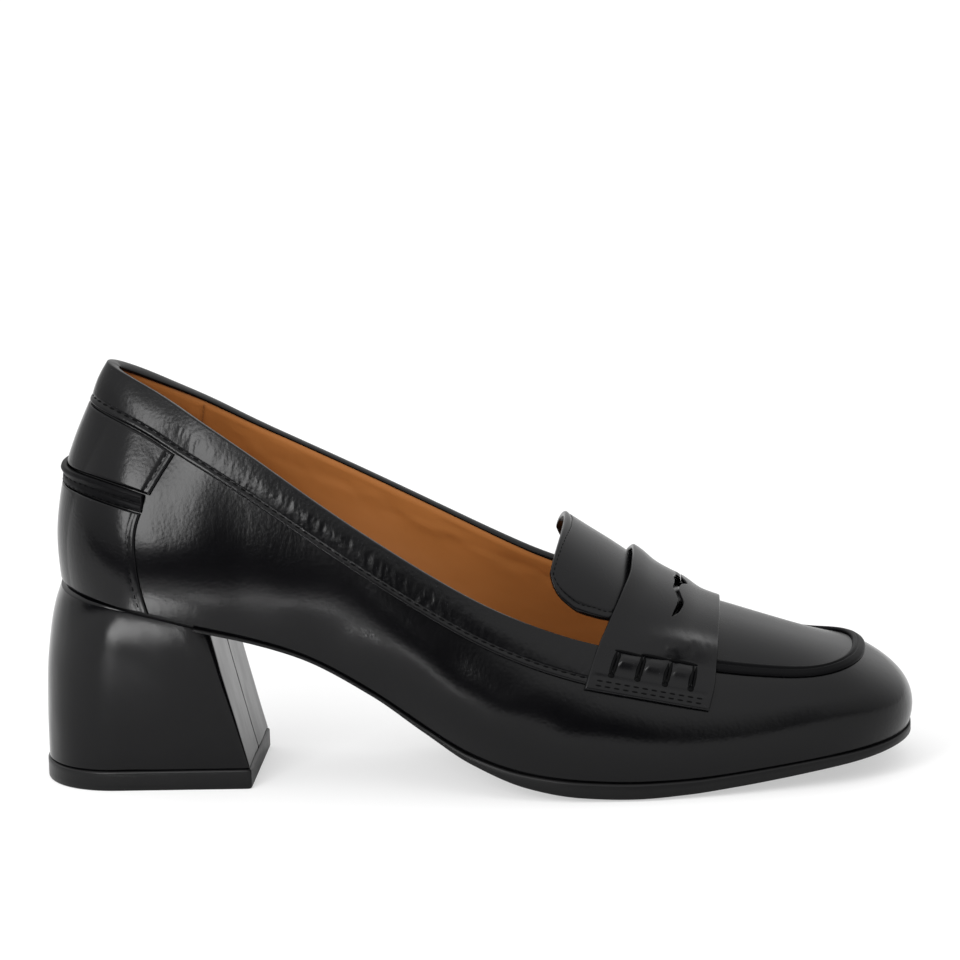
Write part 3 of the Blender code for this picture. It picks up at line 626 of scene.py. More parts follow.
class Wiring:
    """Adds nodes to a tree and feeds their inputs."""

    def __init__(self, tree: bpy.types.NodeTree) -> None:
        """Work on one tree.

        Args:
            tree: Tree of a material, a world or a group.
        """
        self.tree = tree

    def feed(self, node: bpy.types.Node, inputs: dict[str | int, Any]) -> None:
        """Set a node's inputs, or link them where the value is another node's output."""
        for key, value in inputs.items():
            if isinstance(value, bpy.types.NodeSocket):
                self.tree.links.new(value, node.inputs[key])
            else:
                node.inputs[key].default_value = value

    def add(self, kind: str, inputs: dict[str | int, Any], out: str,
            **settings: Any) -> bpy.types.NodeSocket:
        """Add a shader node and feed it.

        Args:
            kind: The node's type, without its prefix.
            inputs: Values or other nodes' outputs, by the name or number of the input.
            out: Name of the output to hand back.
            settings: The node's own settings.

        Returns:
            The named output.
        """
        node = self.tree.nodes.new("ShaderNode" + kind)
        for name, value in settings.items():
            setattr(node, name, value)
        self.feed(node, inputs)
        return node.outputs[out]


@dataclass(frozen=True)
class GrainGroup:
    """Node group of calf grain: small cells, brushed streaks and broad unevenness."""

    name: str = "calf_grain"
    cell_detail: float = 4.0
    streak_detail: float = 3.0
    streak_squeeze: tuple[float, float, float] = (1.0, 1.0, 0.28)
    streak_turn: float = 24.0
    mottle_scale: float = 60.0

    def build(self) -> bpy.types.NodeTree:
        """Make the group, with named sizes in and a height and a mask out."""
        tree = bpy.data.node_groups.new(self.name, "ShaderNodeTree")
        face = tree.interface
        for name, value in (("Grain Scale", 1000.0), ("Streak Scale", 560.0), ("Streak Share", 0.5)):
            face.new_socket(name, in_out="INPUT", socket_type="NodeSocketFloat").default_value = value
        for name in ("Height", "Mottle"):
            face.new_socket(name, in_out="OUTPUT", socket_type="NodeSocketFloat")
        wire = Wiring(tree)
        source, sink = tree.nodes.new("NodeGroupInput").outputs, tree.nodes.new("NodeGroupOutput")
        where = wire.add("TexCoord", {}, "Object")
        fine = {"Vector": where, "Scale": source["Grain Scale"]}
        cells = wire.add("TexVoronoi", fine, "Distance", feature="SMOOTH_F1")
        warp = wire.add("TexNoise", {**fine, "Detail": self.cell_detail}, "Fac")
        turn = (0.0, math.radians(self.streak_turn), 0.0)
        squeezed = wire.add("Mapping", {"Vector": where, "Scale": self.streak_squeeze,
                                        "Rotation": turn}, "Vector")
        streaks = wire.add("TexNoise", {"Vector": squeezed, "Scale": source["Streak Scale"],
                                        "Detail": self.streak_detail}, "Fac")
        mottle = wire.add("TexNoise", {"Vector": where, "Scale": self.mottle_scale,
                                       "Detail": self.streak_detail}, "Fac")
        both = wire.add("Mix", {"Factor": 0.5, "A": cells, "B": warp}, "Result")
        total = wire.add("Mix", {"Factor": source["Streak Share"], "A": both, "B": streaks}, "Result")
        wire.feed(sink, {"Height": total, "Mottle": mottle})
        return tree


@dataclass(frozen=True)
class Leather:
    """A leather or thread finish: its colour, gloss and grain."""

    name: str
    colour: tuple[float, float, float]
    rough: float
    rough_spread: float = 0.08
    specular: float = 0.20
    grain_depth: float = 0.02
    grain_scale: float = 1000.0
    streak_scale: float = 560.0
    streak_share: float = 0.5
    pale: float = 1.25

    def material(self, grain: bpy.types.NodeTree) -> bpy.types.Material:
        """Build the material around its Principled shader."""
        made = bpy.data.materials.new(self.name)
        made.use_nodes = True
        wire = Wiring(made.node_tree)
        sizes = {"Grain Scale": self.grain_scale, "Streak Scale": self.streak_scale,
                 "Streak Share": self.streak_share}
        mottle = wire.add("Group", sizes, "Mottle", node_tree=grain)
        height = mottle.node.outputs["Height"]
        pale = [min(c * self.pale, 1.0) for c in self.colour]
        tone = wire.add("Mix", {"Factor": mottle, "A": (*self.colour, 1.0), "B": (*pale, 1.0)}, "Result",
                        data_type="RGBA")
        rough = wire.add("MapRange", {"Value": mottle, "To Min": self.rough - self.rough_spread,
                                      "To Max": self.rough + self.rough_spread}, "Result")
        relief = wire.add("Bump", {"Height": height, "Distance": self.grain_depth * MM}, "Normal")
        wire.feed(made.node_tree.nodes["Principled BSDF"], {
            "Specular IOR Level": self.specular, "Base Color": tone, "Roughness": rough, "Normal": relief})
        return made


class Palette:
    """Every finish of the shoe."""

    def __init__(self) -> None:
        """Build the materials on one grain group."""
        grain = GrainGroup().build()

        def finish(name: str, colour: tuple[float, float, float], rough: float,
                   **sizes: float) -> bpy.types.Material:
            """A leather's material on the shared grain."""
            return Leather(name, colour, rough, **sizes).material(grain)

        black = (0.0011, 0.0011, 0.0014)
        self.calf = finish("calf_glossy", black, 0.20, rough_spread=0.05, grain_depth=0.075)
        self.smooth = finish("calf_smooth", (0.0014, 0.0014, 0.0018), 0.26, grain_depth=0.022,
                              streak_share=0.3)
        self.collar = finish("calf_puckered", black, 0.24, grain_depth=0.12)
        self.cover = finish("heel_cover", black, 0.16, rough_spread=0.05, grain_depth=0.045,
                             streak_scale=300.0, streak_share=0.8)
        self.edge = finish("sole_edge", (0.003, 0.003, 0.0032), 0.38, grain_depth=0.02)
        self.rubber = finish("top_piece_rubber", (0.004, 0.004, 0.0042), 0.34, grain_depth=0.03,
                              streak_share=0.1)
        self.seam = finish("seam_leather", black, 0.42, specular=0.06, grain_depth=0.05)
        self.thread = finish("thread_black", (0.0016, 0.0016, 0.0018), 0.5, specular=0.04, grain_depth=0.05,
                              grain_scale=4000.0)
        self.tan = finish("lining_tan", (0.345, 0.132, 0.034), 0.5, grain_depth=0.02, pale=1.1,
                           streak_share=0.4)
        self.sock = finish("sock_tan", (0.345, 0.132, 0.036), 0.45, grain_depth=0.015,
                            pale=1.08)
        self.tan_thread = finish("thread_tan", (0.20, 0.075, 0.02), 0.6)


@dataclass(frozen=True)
class Trough:
    """A soft fold pressed into the outer wall, along a line seen from the side."""

    x: float
    z: float
    angle: float
    length: float
    width: float
    depth: float

    def push(self, points: Array) -> Array:
        """How far each point moves out of the wall, in millimetres."""
        turn = math.radians(self.angle)
        dx, dz = points[:, 0] - self.x, points[:, 2] - self.z
        along = dx * math.cos(turn) + dz * math.sin(turn)
        aside = -dx * math.sin(turn) + dz * math.cos(turn)
        here = points[:, 1] < 0.0
        return -self.depth * bump(aside, self.width) * bump(along, self.length / 2.0) * here


@dataclass
class Upper:
    """Quarter and vamp wall, apron, and the lining inside."""

    palette: Palette
    skin: float = 1.0
    lining_out: float = -2.0
    lining_thick: float = 0.5
    lining_roll: float = 0.9
    roll_from: tuple[float, float] = (0.95, 0.997)
    rim_crease: float = 0.45
    lining_crease: float = 0.10
    unevenness: float = 0.10
    seam: Stitch = Stitch(length=1.7, gap=0.0, width=0.4, height=0.3)
    middle: tuple[float, float, float] = (125.0, 0.0, 40.0)
    back_seam_way: float = 0.19
    back_seam: tuple[float, float] = (0.98, 0.62)
    columns: int = 620
    rows: int = 62
    troughs: tuple[Trough, ...] = (
        Trough(62.0, 66.0, 100.0, 40.0, 7.0, 0.35),
        Trough(76.0, 58.0, 80.0, 22.0, 6.0, -0.3),
        Trough(90.0, 52.0, 70.0, 30.0, 7.0, 0.3),
        Trough(120.0, 40.0, 50.0, 30.0, 8.0, 0.3),
        Trough(150.0, 22.0, 35.0, 34.0, 5.0, 0.22),
        Trough(136.0, 26.0, 35.0, 30.0, 5.0, -0.2),
    )

    def build(self) -> None:
        """Make the wall, the apron and the linings."""
        self._wall()
        self._apron()
        self._lining()

    def _outside(self, w: Array, v: Array) -> Array:
        """Points of the wall's face, with its folds and its slight unevenness."""
        points = LAST.wall(w, v)
        push = sum(t.push(points) for t in self.troughs)
        push = push + self.unevenness * Noise(3).rough(points[:, 0] / 26.0, points[:, 2] / 22.0, 2)
        fade = swell(v, 0.12) * swell(1.0 - v, 0.1)
        return points + LAST.normal(w, v) * (push * fade)[:, None]

    def _wall(self) -> None:
        """The outer leather from the sole's edge to the collar."""
        wall = Bench.sheet("upper_wall", np.linspace(-1.0, 1.0, self.columns),
                           np.linspace(0.0, 1.0, self.rows), self._outside)
        Bench.skin(wall, self.middle, self.skin, self.palette.calf, Slot.CALF, "upper")

    def _apron(self) -> None:
        """The apron between its raised seams."""
        apron = Bench.sheet("upper_apron", np.linspace(-1.0, 1.0, 121),
                            np.linspace(THROAT, APRON_CORNER, 141), lambda a, way: LAST.apron(way, a))
        Bench.skin(apron, (200.0, 0.0, 0.0), self.skin, self.palette.smooth, Slot.CALF)

    def _lining(self) -> None:
        """The tan lining of the quarters, with soft creases below the rim."""
        noise = Noise(11)

        def inside(w: Array, v: Array) -> Array:
            """The lining's face, which rolls out to the rim at its top."""
            points = LAST.wall(w, v)
            fine = noise.rough(w * LAST.way_length / 9.0, v * 9.0, 3)
            start, end = self.roll_from
            roll = self.lining_roll * ramp(v - start, end - start) ** 2
            creases = fine * (self.rim_crease * bump(v - 0.86, 0.05) + self.lining_crease * (v < start))
            return points + LAST.normal(w, v) * (self.lining_out + roll - creases)[:, None]

        levels = np.concatenate([np.linspace(0.02, 0.945, 45), np.linspace(0.953, 0.997, 9)])
        lining = Bench.sheet("quarter_lining", np.linspace(-1.0, 1.0, 361), levels, inside)
        Bench.skin(lining, self.middle, self.lining_thick, self.palette.tan, Slot.TAN, away=False)
        v = np.linspace(*self.back_seam, 60)
        for side in Side:
            name = f"lining_seam_{side.name.lower()}"
            w = np.full_like(v, side.value * self.back_seam_way)
            line = LAST.proud(w, v, self.lining_out - self.lining_thick)
            self.seam.row(name, line, -LAST.normal(w, v), self.palette.tan_thread, Slot.TAN)


@dataclass
class Collar:
    """The puckered band folded over the collar's edge."""

    palette: Palette
    drop: float = 12.4
    inside: float = 0.3
    rim_inner: float = 1.5
    rim_deep: float = 1.3
    deep_reach: float = 0.3
    rim_rise: float = 0.55
    thick: float = 0.9
    end: float = 0.642
    slant_start: float = 0.56
    slant: float = 0.0013
    stitch_drop: float = 10.4
    smooth_top: float = 2.6
    pucker: float = 0.11
    puff: float = 0.8
    groove: float = 0.24
    welt: float = 0.10
    welt_drop: float = 11.5
    stitch: Stitch = Stitch(length=1.7, gap=1.0, width=0.55, height=0.5)
    smooth_back: float = 0.13

    def _back(self, w: Array, drop: Array) -> Array:
        """Stations moved back near the saddle, so that the band's end slants."""
        late = ramp(np.abs(w) - self.slant_start, self.end - self.slant_start)
        return w - np.sign(w) * self.slant * drop * late

    def _height(self, w: Array, drop: Array) -> Array:
        """How far the band's face stands off the upper at a drop below the edge."""
        s = w * LAST.way_length
        noise, fine = Noise(21), Noise(22)
        wander = 0.5 * noise.at(s / 5.0, drop / 6.0)
        slanted = s + wander + 0.25 * np.sign(w) * drop
        fold = fine.at(slanted / 0.95, drop / 5.0) + 0.7 * fine.at(slanted / 0.5 + 90.0, drop / 3.0)
        patch = 0.55 + 0.45 * noise.at(s / 9.0 + 40.0, drop / 14.0)
        zone = (ramp(drop - self.smooth_top, 2.0) * ramp(self.stitch_drop + 0.2 - drop, 0.5)
                * np.clip((np.abs(w) - self.smooth_back) / 0.06, 0.12, 1.0))
        puffed = 0.5 * np.sin(ramp(drop, self.stitch_drop) * math.pi)
        face = self.thick + puffed * self.puff + self.pucker * fold * patch * zone
        face = face - self.groove * bump(drop - self.stitch_drop, 0.38)
        face = face + self.welt * bump(drop - self.welt_drop, 0.6)
        return GAP * 0.4 + face * swell(self.drop + 0.01 - drop, 0.55)

    def outside(self, w: Array, drop: Array) -> Array:
        """Points of the band's face."""
        back = self._back(w, drop)
        v = LAST.share_below_top(back, drop)
        return LAST.proud(back, v, self._height(w, drop))

    def _fold(self, w: Array, turn: Array) -> Array:
        """Points of the band where it rolls over the edge, by angle, and down the inside."""
        one = np.ones_like(w)
        top, out = LAST.wall(w, one), LAST.normal(w, one)
        rise = unit(top - LAST.wall(w, one * 0.97))
        face = self._height(w, 0.0 * w)
        deep = self.rim_deep * np.clip(1.0 - np.abs(w) / self.deep_reach, 0.0, 1.0)
        inner = -self.rim_inner - deep
        middle, half = (face + inner) / 2.0, (face - inner) / 2.0
        angle = np.clip(turn, 0.0, math.pi)
        down = np.clip(turn - math.pi, 0.0, 1.0) * (self.inside + deep / 2.0)
        side = middle + half * np.cos(angle)
        up = self.rim_rise * np.sin(angle) - down
        return top + out * side[:, None] + rise * up[:, None]

    def build(self) -> None:
        """Make the band and its row of stitches."""
        edge = self.drop - np.array([0.45, 0.3, 0.17, 0.08, 0.0])
        drops = np.concatenate([np.linspace(0.0, 9.0, 30), np.linspace(9.25, 10.6, 10),
                                np.linspace(10.8, 11.8, 4), edge])
        turns = np.concatenate([np.linspace(0.0, math.pi, 16)[1:], math.pi + np.linspace(0.2, 1.0, 4)])
        rows = np.concatenate([-turns[::-1], drops])

        def surface(w: Array, row: Array) -> Array:
            """The fold above the edge and the face below it."""
            points = np.zeros((len(w), 3))
            out = row >= 0.0
            points[out] = self.outside(w[out], row[out])
            points[~out] = self._fold(w[~out], -row[~out])
            return points

        band = Bench.sheet("collar_band_leather", np.linspace(-self.end, self.end, 680), rows, surface)
        Bench.skin(band, (80.0, 0.0, 40.0), FILM, self.palette.collar, Slot.CALF, "collar_band")
        w = np.linspace(-self.end + 0.006, self.end - 0.006, 1500)
        drop = self.stitch_drop + 0.0 * w
        normals = LAST.normal(w, LAST.share_below_top(w, drop))
        self.stitch.row("collar_stitches", self.outside(w, drop), normals, self.palette.thread, slant=9.0)


@dataclass
class Counter:
    """Heel counter: two panels, the ridge between them, and their stitches."""

    palette: Palette
    collar: Collar
    thick: float = 0.8
    swelling: float = 0.8
    swell_reach: float = 26.0
    ridge_height: float = 84.5
    mean_front: float = 0.148
    first_front: float = 0.15
    rounds: int = 5
    ridge_groove: float = 0.16
    ridge_unevenness: float = 0.06
    ridge_rows: tuple[float, float] = (0.42, 0.06)
    strip: float = 2.2
    groove: float = 0.22
    unevenness: float = 0.10
    panel_stitch: Stitch = Stitch(length=1.6, gap=0.9, width=0.55, height=0.5)
    # Front edge of the heel counter: its share of the way round at a height.
    fronts: Table = Table("height way", [
        (48, 0.158), (53.8, 0.154), (59.3, 0.149), (67.5, 0.143), (78.7, 0.138), (85.1, 0.143),
        (92, 0.155), (100.2, 0.174), (106, 0.19),
    ])
    # Lower and upper edge of the counter's ridge at a share of the way round.
    ridges: Table = Table("way low high", [
        (0, 87.4, 92.2), (0.06, 86.9, 91.8), (0.12, 84.4, 89.4), (0.16, 82, 86.6),
    ])

    def _ridge_share(self, w: Array, name: str, beyond: float = 0.0) -> Array:
        """The v of the ridge's lower or upper edge, a length beyond it."""
        return LAST.share_at_height(w, self.ridges.soft(name, np.abs(w), 0.02) + beyond)

    def _spot(self, side: Array, share: Array, low: Callable, high: Callable) -> tuple[Array, Array]:
        """Station and v of a panel's point, side from -1 to 1 between its front edges."""
        way = np.full_like(side, self.first_front)
        for _ in range(self.rounds):
            w = side * way
            edge = np.sign(side) * way
            v = low(edge) * (1 - share) + high(edge) * share
            way = self.fronts.soft("way", LAST.wall(edge, v)[:, 2], 3.0)
        w = side * way
        return w, low(w) * (1 - share) + high(w) * share

    def _panel(self, name: str, node: str, low: Callable, high: Callable) -> None:
        """One panel with rounded edges and a sunk stitch line near its front edges."""
        columns = spread_ends(80.0, 0.55, 0.14, 0.9) * 2.0 - 1.0
        rows = spread_ends(30.0, 0.6, 0.15, 0.8)
        noise = Noise(31)

        def face(side: Array, share: Array) -> Array:
            """Points of the panel's face, with its groove and its swelling."""
            w, v = self._spot(side, share, low, high)
            inward = (1.0 - np.abs(side)) * self.mean_front * LAST.way_length
            points = LAST.wall(w, v)
            rise = (high(w) - low(w)) * 55.0
            edge = swell(inward, 0.7) * swell(share * rise, 0.6) * swell((1 - share) * rise, 0.6)
            out = self.thick * edge - self.groove * bump(inward - self.strip, 0.42)
            out = out + self.unevenness * noise.at(points[:, 0] / 11.0, points[:, 2] / 9.0) * edge
            swollen = np.sin(ramp(inward, self.swell_reach) * math.pi)
            out = out + self.swelling * swollen * edge
            return LAST.proud(w, v, GAP * 0.5 + out)

        panel = Bench.sheet(name, columns, rows, face)
        Bench.skin(panel, (60.0, 0.0, 70.0), FILM, self.palette.calf, Slot.CALF, node)
        share = np.linspace(0.04, 0.96, 160)
        for side in Side:
            near = side.value * (1.0 - self.strip / (self.mean_front * LAST.way_length))
            w, v = self._spot(np.full_like(share, near), share, low, high)
            line = LAST.proud(w, v, GAP * 0.5 + self.thick - 0.14)
            self.panel_stitch.row(f"{name}_stitches_{side.name.lower()}", line, LAST.normal(w, v),
                                  self.palette.thread)

    def build(self) -> None:
        """Make both panels and the ridge."""
        drop = self.collar.drop + GAP
        self._panel("counter_lower_leather", "counter_lower", lambda w: np.full_like(w, 0.01),
                    lambda w: self._ridge_share(w, "low", -GAP * 0.6))
        self._panel("counter_upper_leather", "counter_upper",
                    lambda w: self._ridge_share(w, "high", GAP * 0.6),
                    lambda w: LAST.share_below_top(w, drop))
        self._ridge()

    def _ridge(self) -> None:
        """The folded ridge, proudest near its upper edge, with a row of stitches on it and below."""
        # How far the ridge stands out at a share of its width.
        profile = Table("share out", [
            (0, 0.5), (0.12, 0.95), (0.3, 1.1), (0.42, 1.05), (0.55, 1.55), (0.75, 2.25), (0.9, 2.1),
            (1, 0.6),
        ])
        end = float(self.fronts.at("way", self.ridge_height)) - 0.001
        columns = (spread_ends(78.0, 0.5, 0.12, 0.9) * 2.0 - 1.0) * end
        noise = Noise(33)

        def face(w: Array, share: Array) -> Array:
            """Points of the ridge's face."""
            low, high = self._ridge_share(w, "low"), self._ridge_share(w, "high")
            inward = (end - np.abs(w)) * LAST.way_length
            out = profile.at("out", share) * swell(inward + 0.15, 0.8)
            out = out - self.ridge_groove * bump(share - self.ridge_rows[0], 0.07)
            out = out + self.ridge_unevenness * noise.at(w * 90.0, share * 4.0)
            return LAST.proud(w, low + (high - low) * share, GAP * 0.5 + out)

        ridge = Bench.sheet("counter_ridge_leather", columns, np.linspace(0.0, 1.0, 34), face)
        Bench.skin(ridge, (60.0, 0.0, 80.0), FILM, self.palette.seam, Slot.CALF, "counter_ridge")
        w = np.linspace(-end + 0.008, end - 0.008, 300)
        for name, share in zip(("ridge_stitches", "ridge_stitches_low"), self.ridge_rows):
            v = self._ridge_share(w, "low") * (1 - share) + self._ridge_share(w, "high") * share
            self.collar.stitch.row(name, face(w, np.full_like(w, share)), LAST.normal(w, v),
                                   self.palette.thread)


class Ground:
    """The upper's outside as a fine tree, for pieces that lie on it."""

    def __init__(self) -> None:
        """Lay out the wall and the apron, closed a little behind the throat."""
        w, v = np.meshgrid(np.linspace(-1, 1, 521), np.linspace(0, 1, 51))
        wall = LAST.wall(w.ravel(), v.ravel())
        across, way = np.meshgrid(np.linspace(-1, 1, 81), np.linspace(TREE_START, APRON_CORNER, 101))
        apron = LAST.apron(way.ravel(), across.ravel())
        faces = self._faces(51, 521, 0) + self._faces(101, 81, len(wall))
        self.tree = BVHTree.FromPolygons([tuple(p) for p in np.concatenate([wall, apron])], faces)

    @staticmethod
    def _faces(rows: int, columns: int, start: int) -> list[tuple[int, ...]]:
        """Quads of a grid whose points are listed row by row."""
        return [(start + r * columns + c, start + r * columns + c + 1,
                 start + (r + 1) * columns + c + 1, start + (r + 1) * columns + c)
                for r in range(rows - 1) for c in range(columns - 1)]

    def hit(self, starts: Array, towards: Array) -> tuple[Array, Array]:
        """Where rays first meet the upper, and the normals there, away from the starts."""
        points, normals = np.zeros_like(starts), np.zeros_like(starts)
        for k, (start, ray) in enumerate(zip(starts, towards)):
            spot, normal, _, _ = self.tree.ray_cast(Vector(start), Vector(ray))
            points[k] = spot
            normals[k] = normal if normal.dot(Vector(ray)) > 0.0 else -normal
        return points, normals

    def below(self, x: Array, y: Array) -> tuple[Array, Array]:
        """The upper straight below places, and its normals there, upwards."""
        starts = np.stack([x, y, np.full_like(x, 200.0)], axis=1)
        points, normals = self.hit(starts, np.tile([0.0, 0.0, -1.0], (len(x), 1)))
        return points, -normals


@dataclass
class ApronSeam:
    """The raised seam between apron and vamp."""

    palette: Palette
    ground: Ground
    start: float = 0.766
    width: float = 1.9
    thick: float = 1.2
    lean: float = 0.14
    groove: float = 0.35
    groove_at: float = 0.30
    toe: tuple[float, float, float] = (205.0, 0.0, 0.0)

    def build(self) -> None:
        """Sweep the seam's section round the toe."""
        loop = np.concatenate([-np.linspace(self.start, 1.0, 260), np.linspace(1.0, self.start, 260)[1:]])
        turns = np.linspace(-1.0, 1.0, 25)
        seam = Bench.sheet("apron_seam_leather", loop, turns, self._section)
        Bench.skin(seam, (205.0, 0.0, 20.0), FILM, self.palette.seam, Slot.CALF, "apron_seam")

    def _section(self, w: Array, t: Array) -> Array:
        """Points of the seam, t from -1 on the wall to 1 on the apron, where it is thicker."""
        ridge = LAST.seam(w)
        drop = LAST.share_below_top(w, np.full_like(w, self.width))
        wall_side, wall_out = LAST.wall(w, drop), LAST.normal(w, drop)
        ahead = LAST.seam(w + 0.004) - LAST.seam(w - 0.004)
        level = unit(np.stack([ahead[:, 1], -ahead[:, 0], 0.0 * w], axis=1))
        flat = (np.array(self.toe) - ridge) * np.array([1.0, 1.0, 0.0])
        level = level * np.sign(np.sum(level * flat, axis=1, keepdims=True))
        spot = ridge + level * self.width
        apron_side, apron_out = self.ground.below(spot[:, 0], spot[:, 1])
        over = unit(wall_out + apron_out)
        near, far = np.clip(-t, 0.0, 1.0)[:, None], np.clip(t, 0.0, 1.0)[:, None]
        base = ridge * (1 - near - far) + wall_side * near + apron_side * far
        out = unit(over * (1 - near - far) + wall_out * near + apron_out * far)
        ends = np.clip((np.abs(w) - self.start) * LAST.way_length + 0.2, 0.0, 1.0)
        lip = self.thick * swell(1.0 - np.abs(t), 0.55) * (1.0 - self.lean + self.lean * t)
        lip = lip - self.groove * bump(t - self.groove_at, 0.10)
        return base + out * (GAP * 0.4 + lip * swell(ends, 1.0))[:, None]


@dataclass
class Tongue:
    """The tongue flap with its stitched edge."""

    palette: Palette
    ground: Ground
    thick: float = 1.6
    centre: float = 0.8
    tilt: float = 0.05
    clear: float = 0.45
    edge_line: float = 2.2
    groove: float = 0.22
    bead: float = 0.12
    stitch: Stitch = Stitch(length=1.1, gap=0.5, width=0.3, height=0.25)
    # Section of the tongue as an arch, counted from its root.
    rows: Table = Table("row x crest half_width depth spread back", [
        (0, 183, 51.8, 26.6, 12, 34, 0), (1, 179, 53.7, 26.6, 13, 40, 0),
        (2, 174.5, 57.2, 26.6, 15, 52, 0), (3, 170, 60.8, 26.8, 16, 68, 0.4),
        (4, 164.5, 64.9, 26.8, 16.5, 80, 1.2), (5, 160, 68, 26.8, 16.5, 84, 2.2),
        (6, 156.5, 70.5, 26.6, 16, 82, 3.2), (7, 154.2, 72.2, 26.4, 16, 74, 4),
        (8, 152.8, 73.2, 26.2, 16, 62, 4.4),
    ])

    def _middle(self, across: Array, row: Array) -> Array:
        """Points half way through the flap."""
        turn = np.radians(self.rows.soft("spread", row, 0.35)) * across
        x = self.rows.soft("x", row, 0.3) - self.rows.soft("back", row, 0.3) * np.sin(turn) ** 2
        y = self.centre + (self.rows.at("half_width", row) - self.thick / 2) * np.sin(turn)
        arch = (self.rows.soft("crest", row, 0.3) - self.thick / 2
                - self.rows.at("depth", row) * (1.0 - np.cos(turn)) + self.tilt * y)
        below, _ = self.ground.below(x, y)
        floor = below[:, 2] + self.clear + self.thick / 2
        return np.stack([x, y, np.maximum(arch, floor)], axis=1)

    def build(self) -> None:
        """Make the flap and its stitches."""
        across = spread_ends(60.0, 0.6, 0.12, 0.8) * 2.0 - 1.0
        along = spread_ends(36.0, 0.55, 0.12, 0.8) * 8.0
        a, r = np.meshgrid(across, along)
        grid = self._middle(a.ravel(), r.ravel()).reshape(len(along), len(across), 3)
        run, rise = travel(grid, 1), travel(grid[::-1], 0)[::-1]
        side = np.minimum(run, run[:, -1:] - run)
        border = np.minimum(side, rise)
        normal = upward(grid)
        edge = swell(side, 0.75) * swell(rise, 0.75)
        groove = self.groove * bump(border - self.edge_line, 0.35) - self.bead * bump(border - 1.0, 0.8)
        face = grid + normal * (edge * self.thick / 2 - groove * edge)[..., None]
        back = grid - normal * (edge * self.thick / 2)[..., None]
        Bench.finish(Bench.pillow("tongue_leather", face, back), self.palette.smooth, Slot.CALF, "tongue")
        self._stitches(grid, face, normal, side, rise)

    def _stitches(self, grid: Array, face: Array, normal: Array, side: Array, rise: Array) -> None:
        """A fine row along the flap's free edge."""
        spots = []
        for row in range(20, len(grid)):
            k = int(np.argmax(side[row] > self.edge_line))
            if rise[row, k] > self.edge_line:
                spots.append((row, k))
        for k in range(len(grid[0])):
            row = int(np.sum(rise[:, k] > self.edge_line)) - 1
            if side[row, k] > self.edge_line:
                spots.append((row, k))
        rows, columns = np.array(spots).T
        window = np.full(5, 0.2)
        points = np.stack([np.convolve(face[rows, columns, k], window, mode="valid") for k in range(3)],
                          axis=1)
        self.stitch.row("tongue_stitches", points, normal[rows, columns][2:-2], self.palette.thread)


